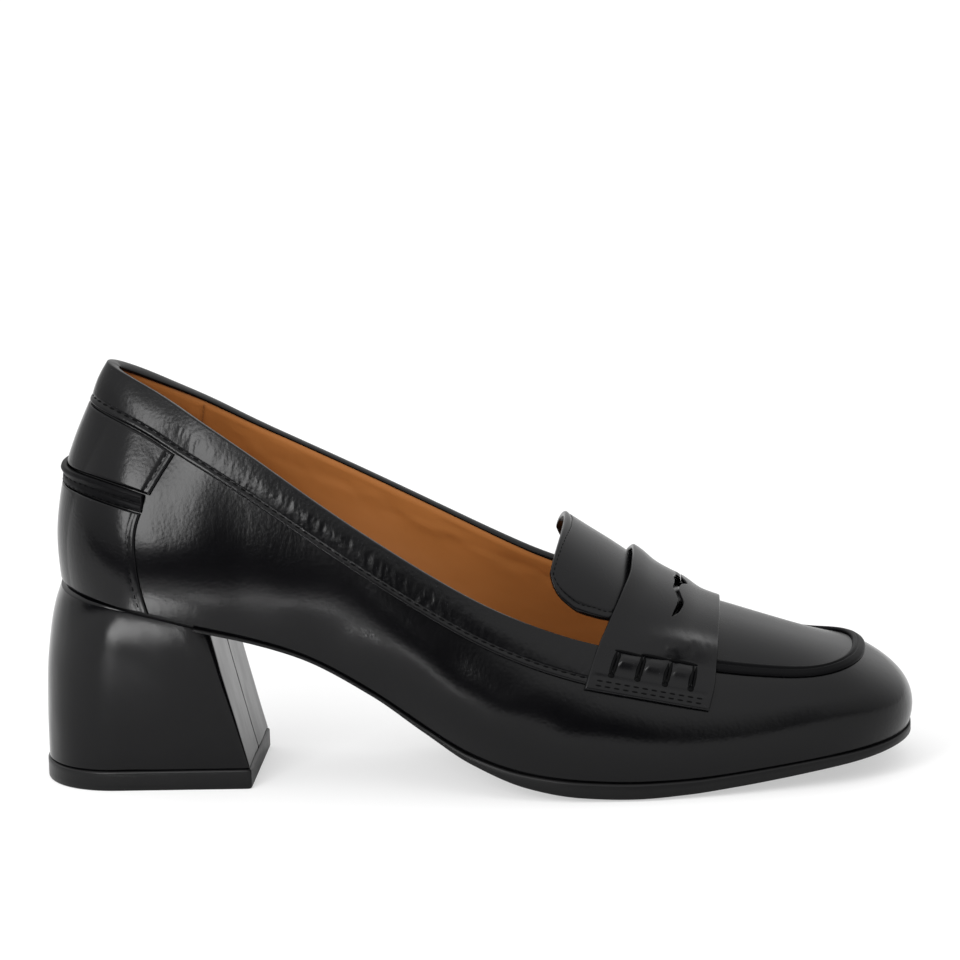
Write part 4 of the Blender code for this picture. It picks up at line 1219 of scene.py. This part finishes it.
@dataclass
class Saddle:
    """The saddle strap with its slot, edge stitches and whip-stitched box."""

    palette: Palette
    ground: Ground
    thick: float = 1.4
    bulge: float = 3.0
    bulge_at: tuple[float, float] = (18.0, 24.0)
    bulge_reach: tuple[float, float] = (4.3, 9.5)
    crinkle: float = 0.32
    window_rise: float = 1.2
    window_half: float = 2.9
    window_end: float = 10.0
    groove: float = 0.30
    grooves: tuple[float, float] = (4.3, 12.9)
    windows: tuple[float, ...] = (9.9, 17.6, 25.5)
    whips: tuple[float, ...] = (6.2, 13.6, 21.6, 29.4)
    box: tuple[float, float] = (5.4, 12.8)
    edge_rows: tuple[float, float] = (1.6, 3.1)
    slot_ends: tuple[float, float] = (-19.0, 25.0)
    stitch: Stitch = Stitch(length=1.7, gap=0.9, width=0.5, height=0.5)
    # Black patch at each wrap's foot: partly the thread going in, partly painted shade of its hole.
    hole: Stitch = Stitch(length=1.7, gap=0.0, width=1.9, height=0.35)
    cord: Stitch = Stitch(length=8.6, gap=-0.5, width=0.9, height=1.2)
    axis: float = 4.0
    centre: float = 1.5
    # Saddle strap at a share across: its two edges, their angles and the lift.
    rows: Table = Table("across rear front rear_angle front_angle lift", [
        (-1, 158.8, 193.8, -55, -61.5, 0), (-0.8, 161.6, 195.8, -44, -49.2, 0.3),
        (-0.6, 165.4, 196.2, -33, -36.9, 2.2), (-0.4, 169.2, 196.6, -22, -24.6, 4.6),
        (-0.2, 171.6, 196.7, -11, -12.3, 5.8), (0, 171.8, 196.5, 0, 0, 6.2),
        (0.2, 171.2, 196.2, 11, 12.3, 6), (0.4, 169, 195.9, 22, 24.6, 4.8),
        (0.6, 165.6, 195.4, 33, 36.9, 2.4), (0.8, 162.4, 194.6, 44, 49.2, 0.3),
        (1, 160.2, 192.8, 55, 61.5, 0),
    ])
    # Share of the strap's lift at a share along it.
    lifts: Table = Table("along share", [
        (0, 1), (0.1, 0.86), (0.24, 0.56), (0.4, 0.44), (0.56, 0.38), (0.78, 0.06), (1, 0),
    ])
    # Penny slot at y: its middle and half width.
    slot: Table = Table("y x half", [
        (-19, 183.6, 0.1), (-16, 185, 0.75), (-11.5, 186, 0.85), (-5, 184.6, 0.85), (-1, 185, 1),
        (3, 185.6, 2), (7, 185, 1), (11, 184.6, 0.85), (17.5, 186, 0.85), (22, 185, 0.75),
        (25, 183.6, 0.1),
    ])

    def __post_init__(self) -> None:
        """Lay the strap's under side on the upper as a fine grid."""
        self.across = spread_ends(118.0, 0.6, 0.12, 0.8) * 2.0 - 1.0
        self.along = spread_ends(36.0, 0.5, 0.12, 0.8)
        a, b = np.meshgrid(self.across, self.along)
        shape = a.shape
        a, b = a.ravel(), b.ravel()

        def between(first: str, last: str) -> Array:
            """A size that runs from the rear edge's column to the front edge's."""
            start, end = self.rows.soft(first, a, 0.05), self.rows.soft(last, a, 0.05)
            return start + (end - start) * b

        turn = np.radians(between("rear_angle", "front_angle"))
        towards = np.stack([0.0 * a, np.sin(turn), np.cos(turn)], axis=1)
        starts = np.stack([between("rear", "front"), 0.0 * a + self.centre, 0.0 * a + self.axis], axis=1)
        hits, normals = self.ground.hit(starts, towards)
        lift = self.rows.soft("lift", a, 0.06) * self.lifts.soft("share", b, 0.05)
        under = hits + normals * GAP * 0.5 + towards * lift[:, None]
        self.under = self._softened(under.reshape(*shape, 3))
        self.normal = upward(self.under)

    @staticmethod
    def _softened(grid: Array, rounds: int = 3) -> Array:
        """The grid with its facets averaged out, its edges kept."""
        for _ in range(rounds):
            inner = (grid[:-2, 1:-1] + grid[2:, 1:-1] + grid[1:-1, :-2] + grid[1:-1, 2:]) / 4.0
            grid[1:-1, 1:-1] = (grid[1:-1, 1:-1] + inner) / 2.0
        return grid

    def _measures(self) -> tuple[Array, Array, Array, Array]:
        """Lengths to the near end, the far end, the rear edge and the front edge."""
        run, rise = travel(self.under, 1), travel(self.under, 0)
        return run, run[:, -1:] - run, rise, rise[-1:] - rise

    def build(self) -> None:
        """Make the strap, cut its slot, and sew it."""
        near, far, rear, front = self._measures()
        edge = swell(near, 0.6) * swell(far, 0.6) * swell(rear, 0.6) * swell(front, 0.6)
        relief = self._relief(np.minimum(near, far), rear, front)
        face = self.under + self.normal * (self.thick * (0.5 + edge / 2) + relief * edge)[..., None]
        back = self.under + self.normal * (self.thick * (0.5 - edge / 2))[..., None]
        strap = Bench.pillow("saddle_leather", face, back)
        self._cut(strap)
        Bench.finish(strap, self.palette.smooth, Slot.CALF, "saddle")
        self._sew(face, near, far, rear)

    def _relief(self, end: Array, rear: Array, front: Array) -> Array:
        """How far the face rises: a crinkled bulge, windows of the box, and two grooves."""
        patch = bump(end - self.bulge_at[0], self.bulge_reach[0]) * bump(
            rear - self.bulge_at[1], self.bulge_reach[1])
        fine = Noise(41).rough(rear / 1.9 + end / 6.0, end / 4.0, 3)
        windows = sum(np.exp(-((rear - at) / self.window_half) ** 6) for at in self.windows)
        windows = windows * bump(end - self.window_end, 2.0)
        relief = self.bulge * patch + self.crinkle * fine * patch + self.window_rise * windows
        low, high = (self.groove * bump(end - at, 0.6) for at in self.grooves)
        low = low * swell(rear - 1.0, 1.5) * swell(front - 1.0, 1.5)
        return relief - low - high * bump(rear - 20.0, 12.0)

    def _cut(self, strap: bpy.types.Object) -> None:
        """Cut the penny slot."""
        y = np.linspace(*self.slot_ends, 90)

        def side(u: Array, z: Array) -> Array:
            """Points round the slot, along one edge and back along the other."""
            k = u.astype(int) % (2 * len(y))
            ahead = k < len(y)
            spot = np.where(ahead, k, 2 * len(y) - 1 - k)
            middle, half = self.slot.at("x", y[spot]), np.maximum(self.slot.at("half", y[spot]), 0.12)
            return np.stack([middle + np.where(ahead, half, -half), y[spot], z], axis=1)

        cutter = Bench.sheet("slot_cutter", np.arange(2.0 * len(y) + 1.0), np.array([20.0, 80.0]), side)
        Bench.close(cutter)
        Bench.apply(strap, "BOOLEAN", operation="DIFFERENCE", solver="EXACT", object=cutter)
        bpy.data.objects.remove(cutter, do_unlink=True)

    def _line(self, face: Array, distance: Array, at: float, start: int, stop: int) -> tuple[Array, Array]:
        """Points of the face at a distance in from the strap's end, row by row."""
        rows = range(start, stop)
        picks = [int(np.argmin(np.abs(distance[r] - at))) for r in rows]
        points = np.array([face[r, k] for r, k in zip(rows, picks)])
        return points, np.array([self.normal[r, k] for r, k in zip(rows, picks)])

    def _sew(self, face: Array, near: Array, far: Array, rear: Array) -> None:
        """Two rows of stitches along each end, and the whip stitches above them."""
        rows = len(self.along)
        for name, distance in (("outer", near), ("inner", far)):
            for k, at in enumerate(self.edge_rows):
                points, normals = self._line(face, distance, at, 10, rows - 10)
                self.stitch.row(f"saddle_stitches_{name}_{k}", points, normals, self.palette.thread)
            self._whips(name, face, distance, rear)

    def _whips(self, name: str, face: Array, distance: Array, rear: Array) -> None:
        """Four double wraps of thread over the box, a black patch at each foot (thread and the hole's
        painted shade), and the cord along its top.
        """
        low, high = self.box
        travel = rear[-1].max() * self.along
        thread = Stitch(length=high - low, gap=0.0, width=1.05, height=1.1)
        for k, at in enumerate(self.whips):
            for n, aside in enumerate((-0.5, 0.5)):
                row = int(np.argmin(np.abs(travel - at - aside)))
                picks = np.where((distance[row] > low) & (distance[row] < high))[0]
                thread.row(f"whip_{name}_{k}_{n}", face[row, picks], self.normal[row, picks],
                           self.palette.thread)
            # The foot's black patch: the thread going in, with the hole's shade painted in thread black.
            row = int(np.argmin(np.abs(travel - at)))
            picks = np.where(np.abs(distance[row] - low) < self.hole.length / 2.0)[0]
            self.hole.row(f"whip_hole_{name}_{k}", face[row, picks], self.normal[row, picks],
                          self.palette.thread)
        rows = np.where((travel > self.whips[0] - 1.2) & (travel < self.whips[-1] + 1.2))[0]
        points, normals = self._line(face, distance, high, rows[0], rows[-1])
        self.cord.row(f"whip_cord_{name}", points, normals, self.palette.thread)


@dataclass
class Sole:
    """Outsole and sock."""

    palette: Palette
    # Thickness of the outsole at x.
    thick: Table = Table("x thick", [
        (54, 1.8), (98, 2), (117, 2.6), (128.7, 3.4), (140, 4.5), (151, 5.2), (164, 5.4), (177, 5.2),
        (191, 4.7), (213, 4.3), (236, 3.6), (250.2, 2.6),
    ])
    start: float = 0.2
    edge: float = 0.5
    tip: float = 9.0
    round_under: float = 0.9
    side_bulge: float = 0.35
    sock_inset: float = 1.1
    sock_lift: float = 3.0
    sock_thick: float = 0.8
    sock_rim: float = 0.5

    def build(self) -> None:
        """Make the outsole and the sock over the insole."""
        self._outsole()
        self._sock()

    def _outsole(self) -> None:
        """A closed sole: its top, rounded sides and underside in one sheet."""
        sides = {side: feather(side, -self.edge, -GAP * 0.4) for side in Side}
        top, side_steps, under = 6, 7, 30
        total = top + under + 2 * side_steps

        def around(way: Array, k: Array) -> Array:
            """Points round the sole's section."""
            left, right = sides[Side.OUTER].at(way), sides[Side.INNER].at(way)
            across, level, bulge = self._ring(k, top, side_steps, under)
            point = left + (right - left) * ((across + 1.0) / 2.0)[:, None]
            thick = self.thick.soft("thick", point[:, 0], 5.0)
            to_tip = 1.0 - (TOE_TIP + self.edge - point[:, 0]) / self.tip
            rounded = self.round_under * np.maximum(np.abs(across), to_tip) ** 3
            low = np.maximum(point[:, 2] - thick + rounded, 0.0)
            point[:, 2] = point[:, 2] * (1 - level) + low * level
            width = np.linalg.norm(right - left, axis=1)
            out = bulge * self.side_bulge * ramp(width, 8.0)
            point[:, 1] += np.sign(across) * out
            return point

        ways = np.concatenate([np.linspace(self.start, 0.9, 190), np.linspace(0.9, 1.0, 70)[1:]])
        sole = Bench.sheet("outsole_leather", ways, np.arange(total + 1.0), around)
        Bench.finish(Bench.close(sole), self.palette.edge, Slot.SOLE, "outsole")

    @staticmethod
    def _ring(k: Array, top: int, side: int, under: int) -> tuple[Array, Array, Array]:
        """Place round the section: share across, level from top to underside, and bulge."""
        total = top + under + 2 * side
        k = k % total
        across, level, bulge = np.zeros_like(k), np.zeros_like(k), np.zeros_like(k)
        on_top = k < top
        across[on_top] = -1.0 + 2.0 * k[on_top] / top
        right = (k >= top) & (k < top + side)
        level[right] = (k[right] - top) / side
        across[right] = 1.0
        below = (k >= top + side) & (k < top + side + under)
        across[below] = 1.0 - 2.0 * (k[below] - top - side) / under
        level[below] = 1.0
        left = k >= top + side + under
        level[left] = 1.0 - (k[left] - top - side - under) / side
        across[left] = -1.0
        bulge[right | left] = np.sin(level[right | left] * math.pi)
        return across, level, bulge

    def _sock(self) -> None:
        """The tan sock over the insole."""
        sides = {side: feather(side, self.sock_inset, self.sock_lift) for side in Side}

        def face(way: Array, across: Array) -> Array:
            """Points of the sock, a little raised at its rim."""
            left, right = sides[Side.OUTER].at(way), sides[Side.INNER].at(way)
            point = left + (right - left) * ((across + 1.0) / 2.0)[:, None]
            point[:, 2] += self.sock_rim * np.abs(across) ** 4
            return point

        sock = Bench.sheet("sock_leather", np.linspace(0.0, 1.0, 260), np.linspace(-1.0, 1.0, 41), face)
        Bench.skin(sock, (125.0, 0.0, -60.0), self.sock_thick, self.palette.sock, Slot.TAN, "insole")


@dataclass
class Heel:
    """Wrapped block heel and its top piece."""

    palette: Palette
    # Outline of the heel at a share of its height.
    levels: Table = Table("share back breast outer inner corner", [
        (0, 2.4, 62.9, 21.2, 21.2, 1.2), (0.22, 2.4, 60.6, 21.9, 21.8, 2.2),
        (0.48, 2.9, 58, 23.2, 22.8, 3.8), (0.72, 4.4, 55.6, 24.9, 24.2, 5.6),
        (0.9, 6.2, 53.9, 26.5, 25.8, 7.4), (1, 7.7, 53.2, 27.4, 26.8, 8.4),
    ])
    skew: float = 0.045
    corner_width: float = 0.62
    unevenness: float = 0.10
    seam_width: float = 0.4
    nail: Stitch = Stitch(length=1.1, gap=0.0, width=1.1, height=0.3)
    back_cap: float = 22.0
    top_piece: float = 5.8
    lip: float = 0.5
    shoulder: float = 0.8
    shoulder_share: float = 0.26
    nail_row: float = 5.0
    nail_aside: float = 4.0
    side_steps: int = 60
    corner_steps: int = 12
    breast_steps: int = 40

    def _outline(self, k: Array, share: Array, grow: Array | float = 0.0) -> Array:
        """Points round one level, k counted from the back over the outer side."""
        size = {name: self.levels.soft(name, share, 0.04) for name in self.levels.columns}
        back, breast, corner = size["back"] - grow, size["breast"] + grow, size["corner"]
        half = self.side_steps + self.corner_steps
        total = 2 * half + self.breast_steps
        k = k % total
        mirrored = k > half + self.breast_steps
        j = np.where(mirrored, total - k, k)
        side = np.where(mirrored, 1.0, -1.0)
        width = np.where(mirrored, size["inner"], size["outer"]) + grow
        t = ramp(j, self.side_steps) ** 1.6
        x_side = back + (breast - back - corner) * t
        turn = np.radians(90.0 * ramp(j - self.side_steps, self.corner_steps))
        x = np.where(j <= self.side_steps, x_side, breast - corner * (1.0 - np.sin(turn)))
        y = width * cap(x - back, self.back_cap, 2.2) - corner * self.corner_width * (1.0 - np.cos(turn))
        across = ramp(k - half, self.breast_steps)
        outer_y = -(size["outer"] + grow - corner * self.corner_width)
        inner_y = size["inner"] + grow - corner * self.corner_width
        on_breast = (k >= half) & (k <= half + self.breast_steps)
        y = np.where(on_breast, outer_y + (inner_y - outer_y) * across, side * y)
        x = np.where(on_breast, breast, x) + self.skew * y * (np.where(on_breast, breast, x) / breast) ** 2
        return np.stack([x, y], axis=1)

    def build(self) -> None:
        """Make the block's cover and the top piece."""
        total = 2 * (self.side_steps + self.corner_steps) + self.breast_steps
        base = self.top_piece + GAP * 0.4
        noise = Noise(51)

        def cover(k: Array, share: Array) -> Array:
            """Points of the cover, tucked in under the upper."""
            flat = self._outline(k, share)
            top = FEATHER.at("height", flat[:, 0]) - GAP * 0.4
            ripple = self.unevenness * noise.rough(k / 9.0, share * 3.0, 2)
            outward = unit(flat - np.array([30.0, 0.0]))
            tuck = self.shoulder * np.clip(1.0 - (1.0 - share) / self.shoulder_share, 0.0, 1.0) ** 2
            flat = flat + outward * (ripple * swell(1.0 - share, 0.2) - tuck)[:, None]
            return np.stack([flat[:, 0], flat[:, 1], base + (top - base) * share], axis=1)

        block = Bench.sheet("heel_cover", np.arange(total + 1.0), np.linspace(0.0, 1.0, 70), cover)
        Bench.finish(Bench.close(block), self.palette.cover, Slot.HEEL, "heel_block")
        middle = self.side_steps + self.corner_steps + self.breast_steps / 2.0
        edges = middle + np.array([-0.5, 0.5]) * self.seam_width
        seam = Bench.sheet("breast_seam", edges, np.linspace(0.0, 0.985, 60),
                           lambda k, share: cover(k, share) + np.array([0.06, 0.0, 0.0]))
        Bench.skin(seam, (30.0, 0.0, 30.0), 0.12, self.palette.thread, Slot.HEEL)
        rows = np.array([0.0, 0.12, 0.3, 0.5, 2.0, 4.2, 5.3, 5.5, 5.68, 5.8])
        inset = np.array([0.5, 0.27, 0.1, 0.0, 0.0, 0.0, 0.0, 0.1, 0.27, 0.5])

        def lift(k: Array, row: Array) -> Array:
            """Points round the top piece, drawn in at its rounded edges."""
            r = row.astype(int)
            flat = self._outline(k, np.zeros_like(k), self.lip - inset[r])
            return np.stack([flat[:, 0], flat[:, 1], rows[r]], axis=1)

        piece = Bench.sheet("top_piece_rubber", np.arange(total + 1.0), np.arange(float(len(rows))), lift)
        Bench.finish(Bench.close(piece), self.palette.rubber, Slot.RUBBER, "heel_top_piece")
        spot = lift(np.array([middle]), np.array([self.nail_row]))
        line = spot + np.array([[0.0, self.nail_aside - 0.6, 0.0], [0.0, self.nail_aside + 0.6, 0.0]])
        self.nail.row("top_piece_nail", line, np.tile([1.0, 0.0, 0.0], (2, 1)), self.palette.thread,
                      Slot.RUBBER)


@dataclass(frozen=True)
class Softbox:
    """An area light: where it stands, what it faces, its size and its power."""

    name: str
    place: tuple[float, float, float]
    aim: tuple[float, float, float]
    size: tuple[float, float]
    power: float

    def build(self) -> None:
        """Add the light."""
        light = bpy.data.lights.new(self.name, "AREA")
        light.shape = "RECTANGLE"
        light.size, light.size_y = self.size
        light.energy = self.power
        lamp = Bench.hang(self.name, light)
        lamp.location = self.place
        lamp.visible_camera = False
        facing = Vector(self.aim) - Vector(self.place)
        lamp.rotation_euler = facing.to_track_quat("-Z", "Y").to_euler()


@dataclass(frozen=True)
class Pool:
    """A narrow lamp over the table, whose pool of light shines back from the leather."""

    name: str
    spot: tuple[float, float]
    reach: float
    power: float
    height: float = 0.6

    def build(self) -> None:
        """Add the lamp, pointing straight down."""
        light = bpy.data.lights.new(self.name, "SPOT")
        light.energy = self.power
        light.spot_size = 2.0 * math.atan(self.reach / self.height)
        light.spot_blend = 1.0
        light.shadow_soft_size = 0.005
        lamp = Bench.hang(self.name, light)
        lamp.location = (*self.spot, self.height)


@dataclass
class Studio:
    """Floor, light and camera."""

    azimuth: float = 3.5
    elevation: float = 14.5
    roll: float = 1.9
    distance: float = 2.2
    lens: float = 288.75
    target: tuple[float, float, float] = (0.09716, 0.00141, 0.08420)
    floor_size: float = 30.0
    floor_white: float = 0.80
    floor_far: float = 0.05
    # Floor grey and glow as the camera sees them: the glow is painted light that lightens the shoe's
    # shadow.
    floor_seen: float = 0.45
    shadow_lifting_glow: float = 0.5
    boxes: tuple[Softbox, ...] = (
        Softbox("key_strip", (-0.170, -0.495, 0.307), (0.008, -0.03, 0.075), (0.235, 0.295), 2.6),
    )
    pools: tuple[Pool, ...] = (
        Pool("pool_heel", (-0.031, -0.120), 0.036, 240.0), Pool("pool_waist", (0.010, -0.166), 0.028, 90.0),
    )
    table_front: tuple[float, float] = (-0.22, -0.30)
    dome: float = 1.4
    room_way: tuple[float, float, float] = (-0.12, -0.99, 0.0)
    room_reach: tuple[float, float] = (0.80, 0.95)
    room_dark: float = 0.03
    low_sky: float = 0.5
    full_sky: float = 0.6

    def build(self) -> None:
        """Set up the studio."""
        self._floor()
        self._sky()
        for lamp in (*self.boxes, *self.pools):
            lamp.build()
        self._camera()

    def _floor(self) -> None:
        """A plain white floor, dark in reflections past the table's front edge; its camera-only glow is
        painted light that lightens the shoe's shadow.
        """
        Bench.pick()
        bpy.ops.mesh.primitive_plane_add(size=self.floor_size)
        floor = bpy.context.active_object
        floor.name = "floor"
        paint = bpy.data.materials.new("floor_white")
        paint.use_nodes = True
        wire = Wiring(paint.node_tree)
        glossy = wire.add("LightPath", {}, "Is Glossy Ray")
        camera = glossy.node.outputs["Is Camera Ray"]
        y = wire.add("SeparateXYZ", {"Vector": wire.add("TexCoord", {}, "Object")}, "Y")
        start, end = self.table_front
        beyond = wire.add("MapRange", {"Value": y, "From Min": start, "From Max": end}, "Result")
        dark = wire.add("Math", {0: beyond, 1: glossy}, "Value", operation="MULTIPLY")
        white, far, seen = ((k, k, k, 1.0) for k in (self.floor_white, self.floor_far, self.floor_seen))
        tone = wire.add("Mix", {"Factor": dark, "A": white, "B": far}, "Result", data_type="RGBA")
        # Camera rays see a greyer floor that glows: painted light that lightens the shoe's shadow on it.
        tone = wire.add("Mix", {"Factor": camera, "A": tone, "B": seen}, "Result", data_type="RGBA")
        glow = wire.add("Math", {0: camera, 1: self.shadow_lifting_glow}, "Value", operation="MULTIPLY")
        wire.feed(paint.node_tree.nodes["Principled BSDF"], {
            "Roughness": 1.0, "Specular IOR Level": 0.0, "Base Color": tone,
            "Emission Color": (1.0, 1.0, 1.0, 1.0), "Emission Strength": glow})
        floor.data.materials.append(paint)

    def _sky(self) -> None:
        """A bright studio dome, dimmer near the ground, with the dark room behind the camera."""
        world = bpy.data.worlds.new("studio")
        world.use_nodes = True
        wire = Wiring(world.node_tree)
        where = wire.add("TexCoord", {}, "Generated")
        toward = wire.add("VectorMath", {0: where, 1: Vector(self.room_way).normalized()}, "Value",
                          operation="DOT_PRODUCT")
        start, end = self.room_reach
        room = wire.add("MapRange", {"Value": toward, "From Min": start, "From Max": end,
                                     "To Min": self.dome, "To Max": self.room_dark}, "Result",
                        interpolation_type="SMOOTHSTEP")
        up = wire.add("SeparateXYZ", {"Vector": where}, "Z")
        height = wire.add("MapRange", {"Value": up, "From Max": self.full_sky, "To Min": self.low_sky},
                          "Result")
        strength = wire.add("Math", {0: room, 1: height}, "Value", operation="MULTIPLY")
        wire.feed(world.node_tree.nodes["Background"], {
            "Strength": strength, "Color": (1.0, 1.0, 1.0, 1.0)})
        bpy.context.scene.world = world

    def _camera(self) -> None:
        """The photograph's viewpoint."""
        a, e, r = (math.radians(k) for k in (self.azimuth, self.elevation, self.roll))
        back = Vector((math.sin(a) * math.cos(e), -math.cos(a) * math.cos(e), math.sin(e)))
        right = Vector((math.cos(a), math.sin(a), 0.0))
        up = back.cross(right)
        turned = right * math.cos(r) - up * math.sin(r)
        up = right * math.sin(r) + up * math.cos(r)
        lens = bpy.data.cameras.new("camera")
        lens.lens = self.lens
        lens.sensor_width = 36.0
        lens.clip_end = 100.0
        camera = Bench.hang("camera", lens)
        turn = Matrix((turned, up, back)).transposed().to_4x4()
        camera.matrix_world = Matrix.Translation(Vector(self.target) + back * self.distance) @ turn
        bpy.context.scene.camera = camera


def main() -> None:
    """Build every piece of the shoe, then the studio."""
    logging.basicConfig(level=logging.INFO)
    bpy.context.scene.view_settings.view_transform = "Standard"
    palette = Palette()
    ground = Ground()
    collar = Collar(palette)
    for assembly in (Upper(palette), collar, Counter(palette, collar), ApronSeam(palette, ground),
                     Tongue(palette, ground), Saddle(palette, ground), Sole(palette), Heel(palette),
                     Studio()):
        LOG.info("building %s", type(assembly).__name__)
        assembly.build()


if __name__ == "__main__":
    main()
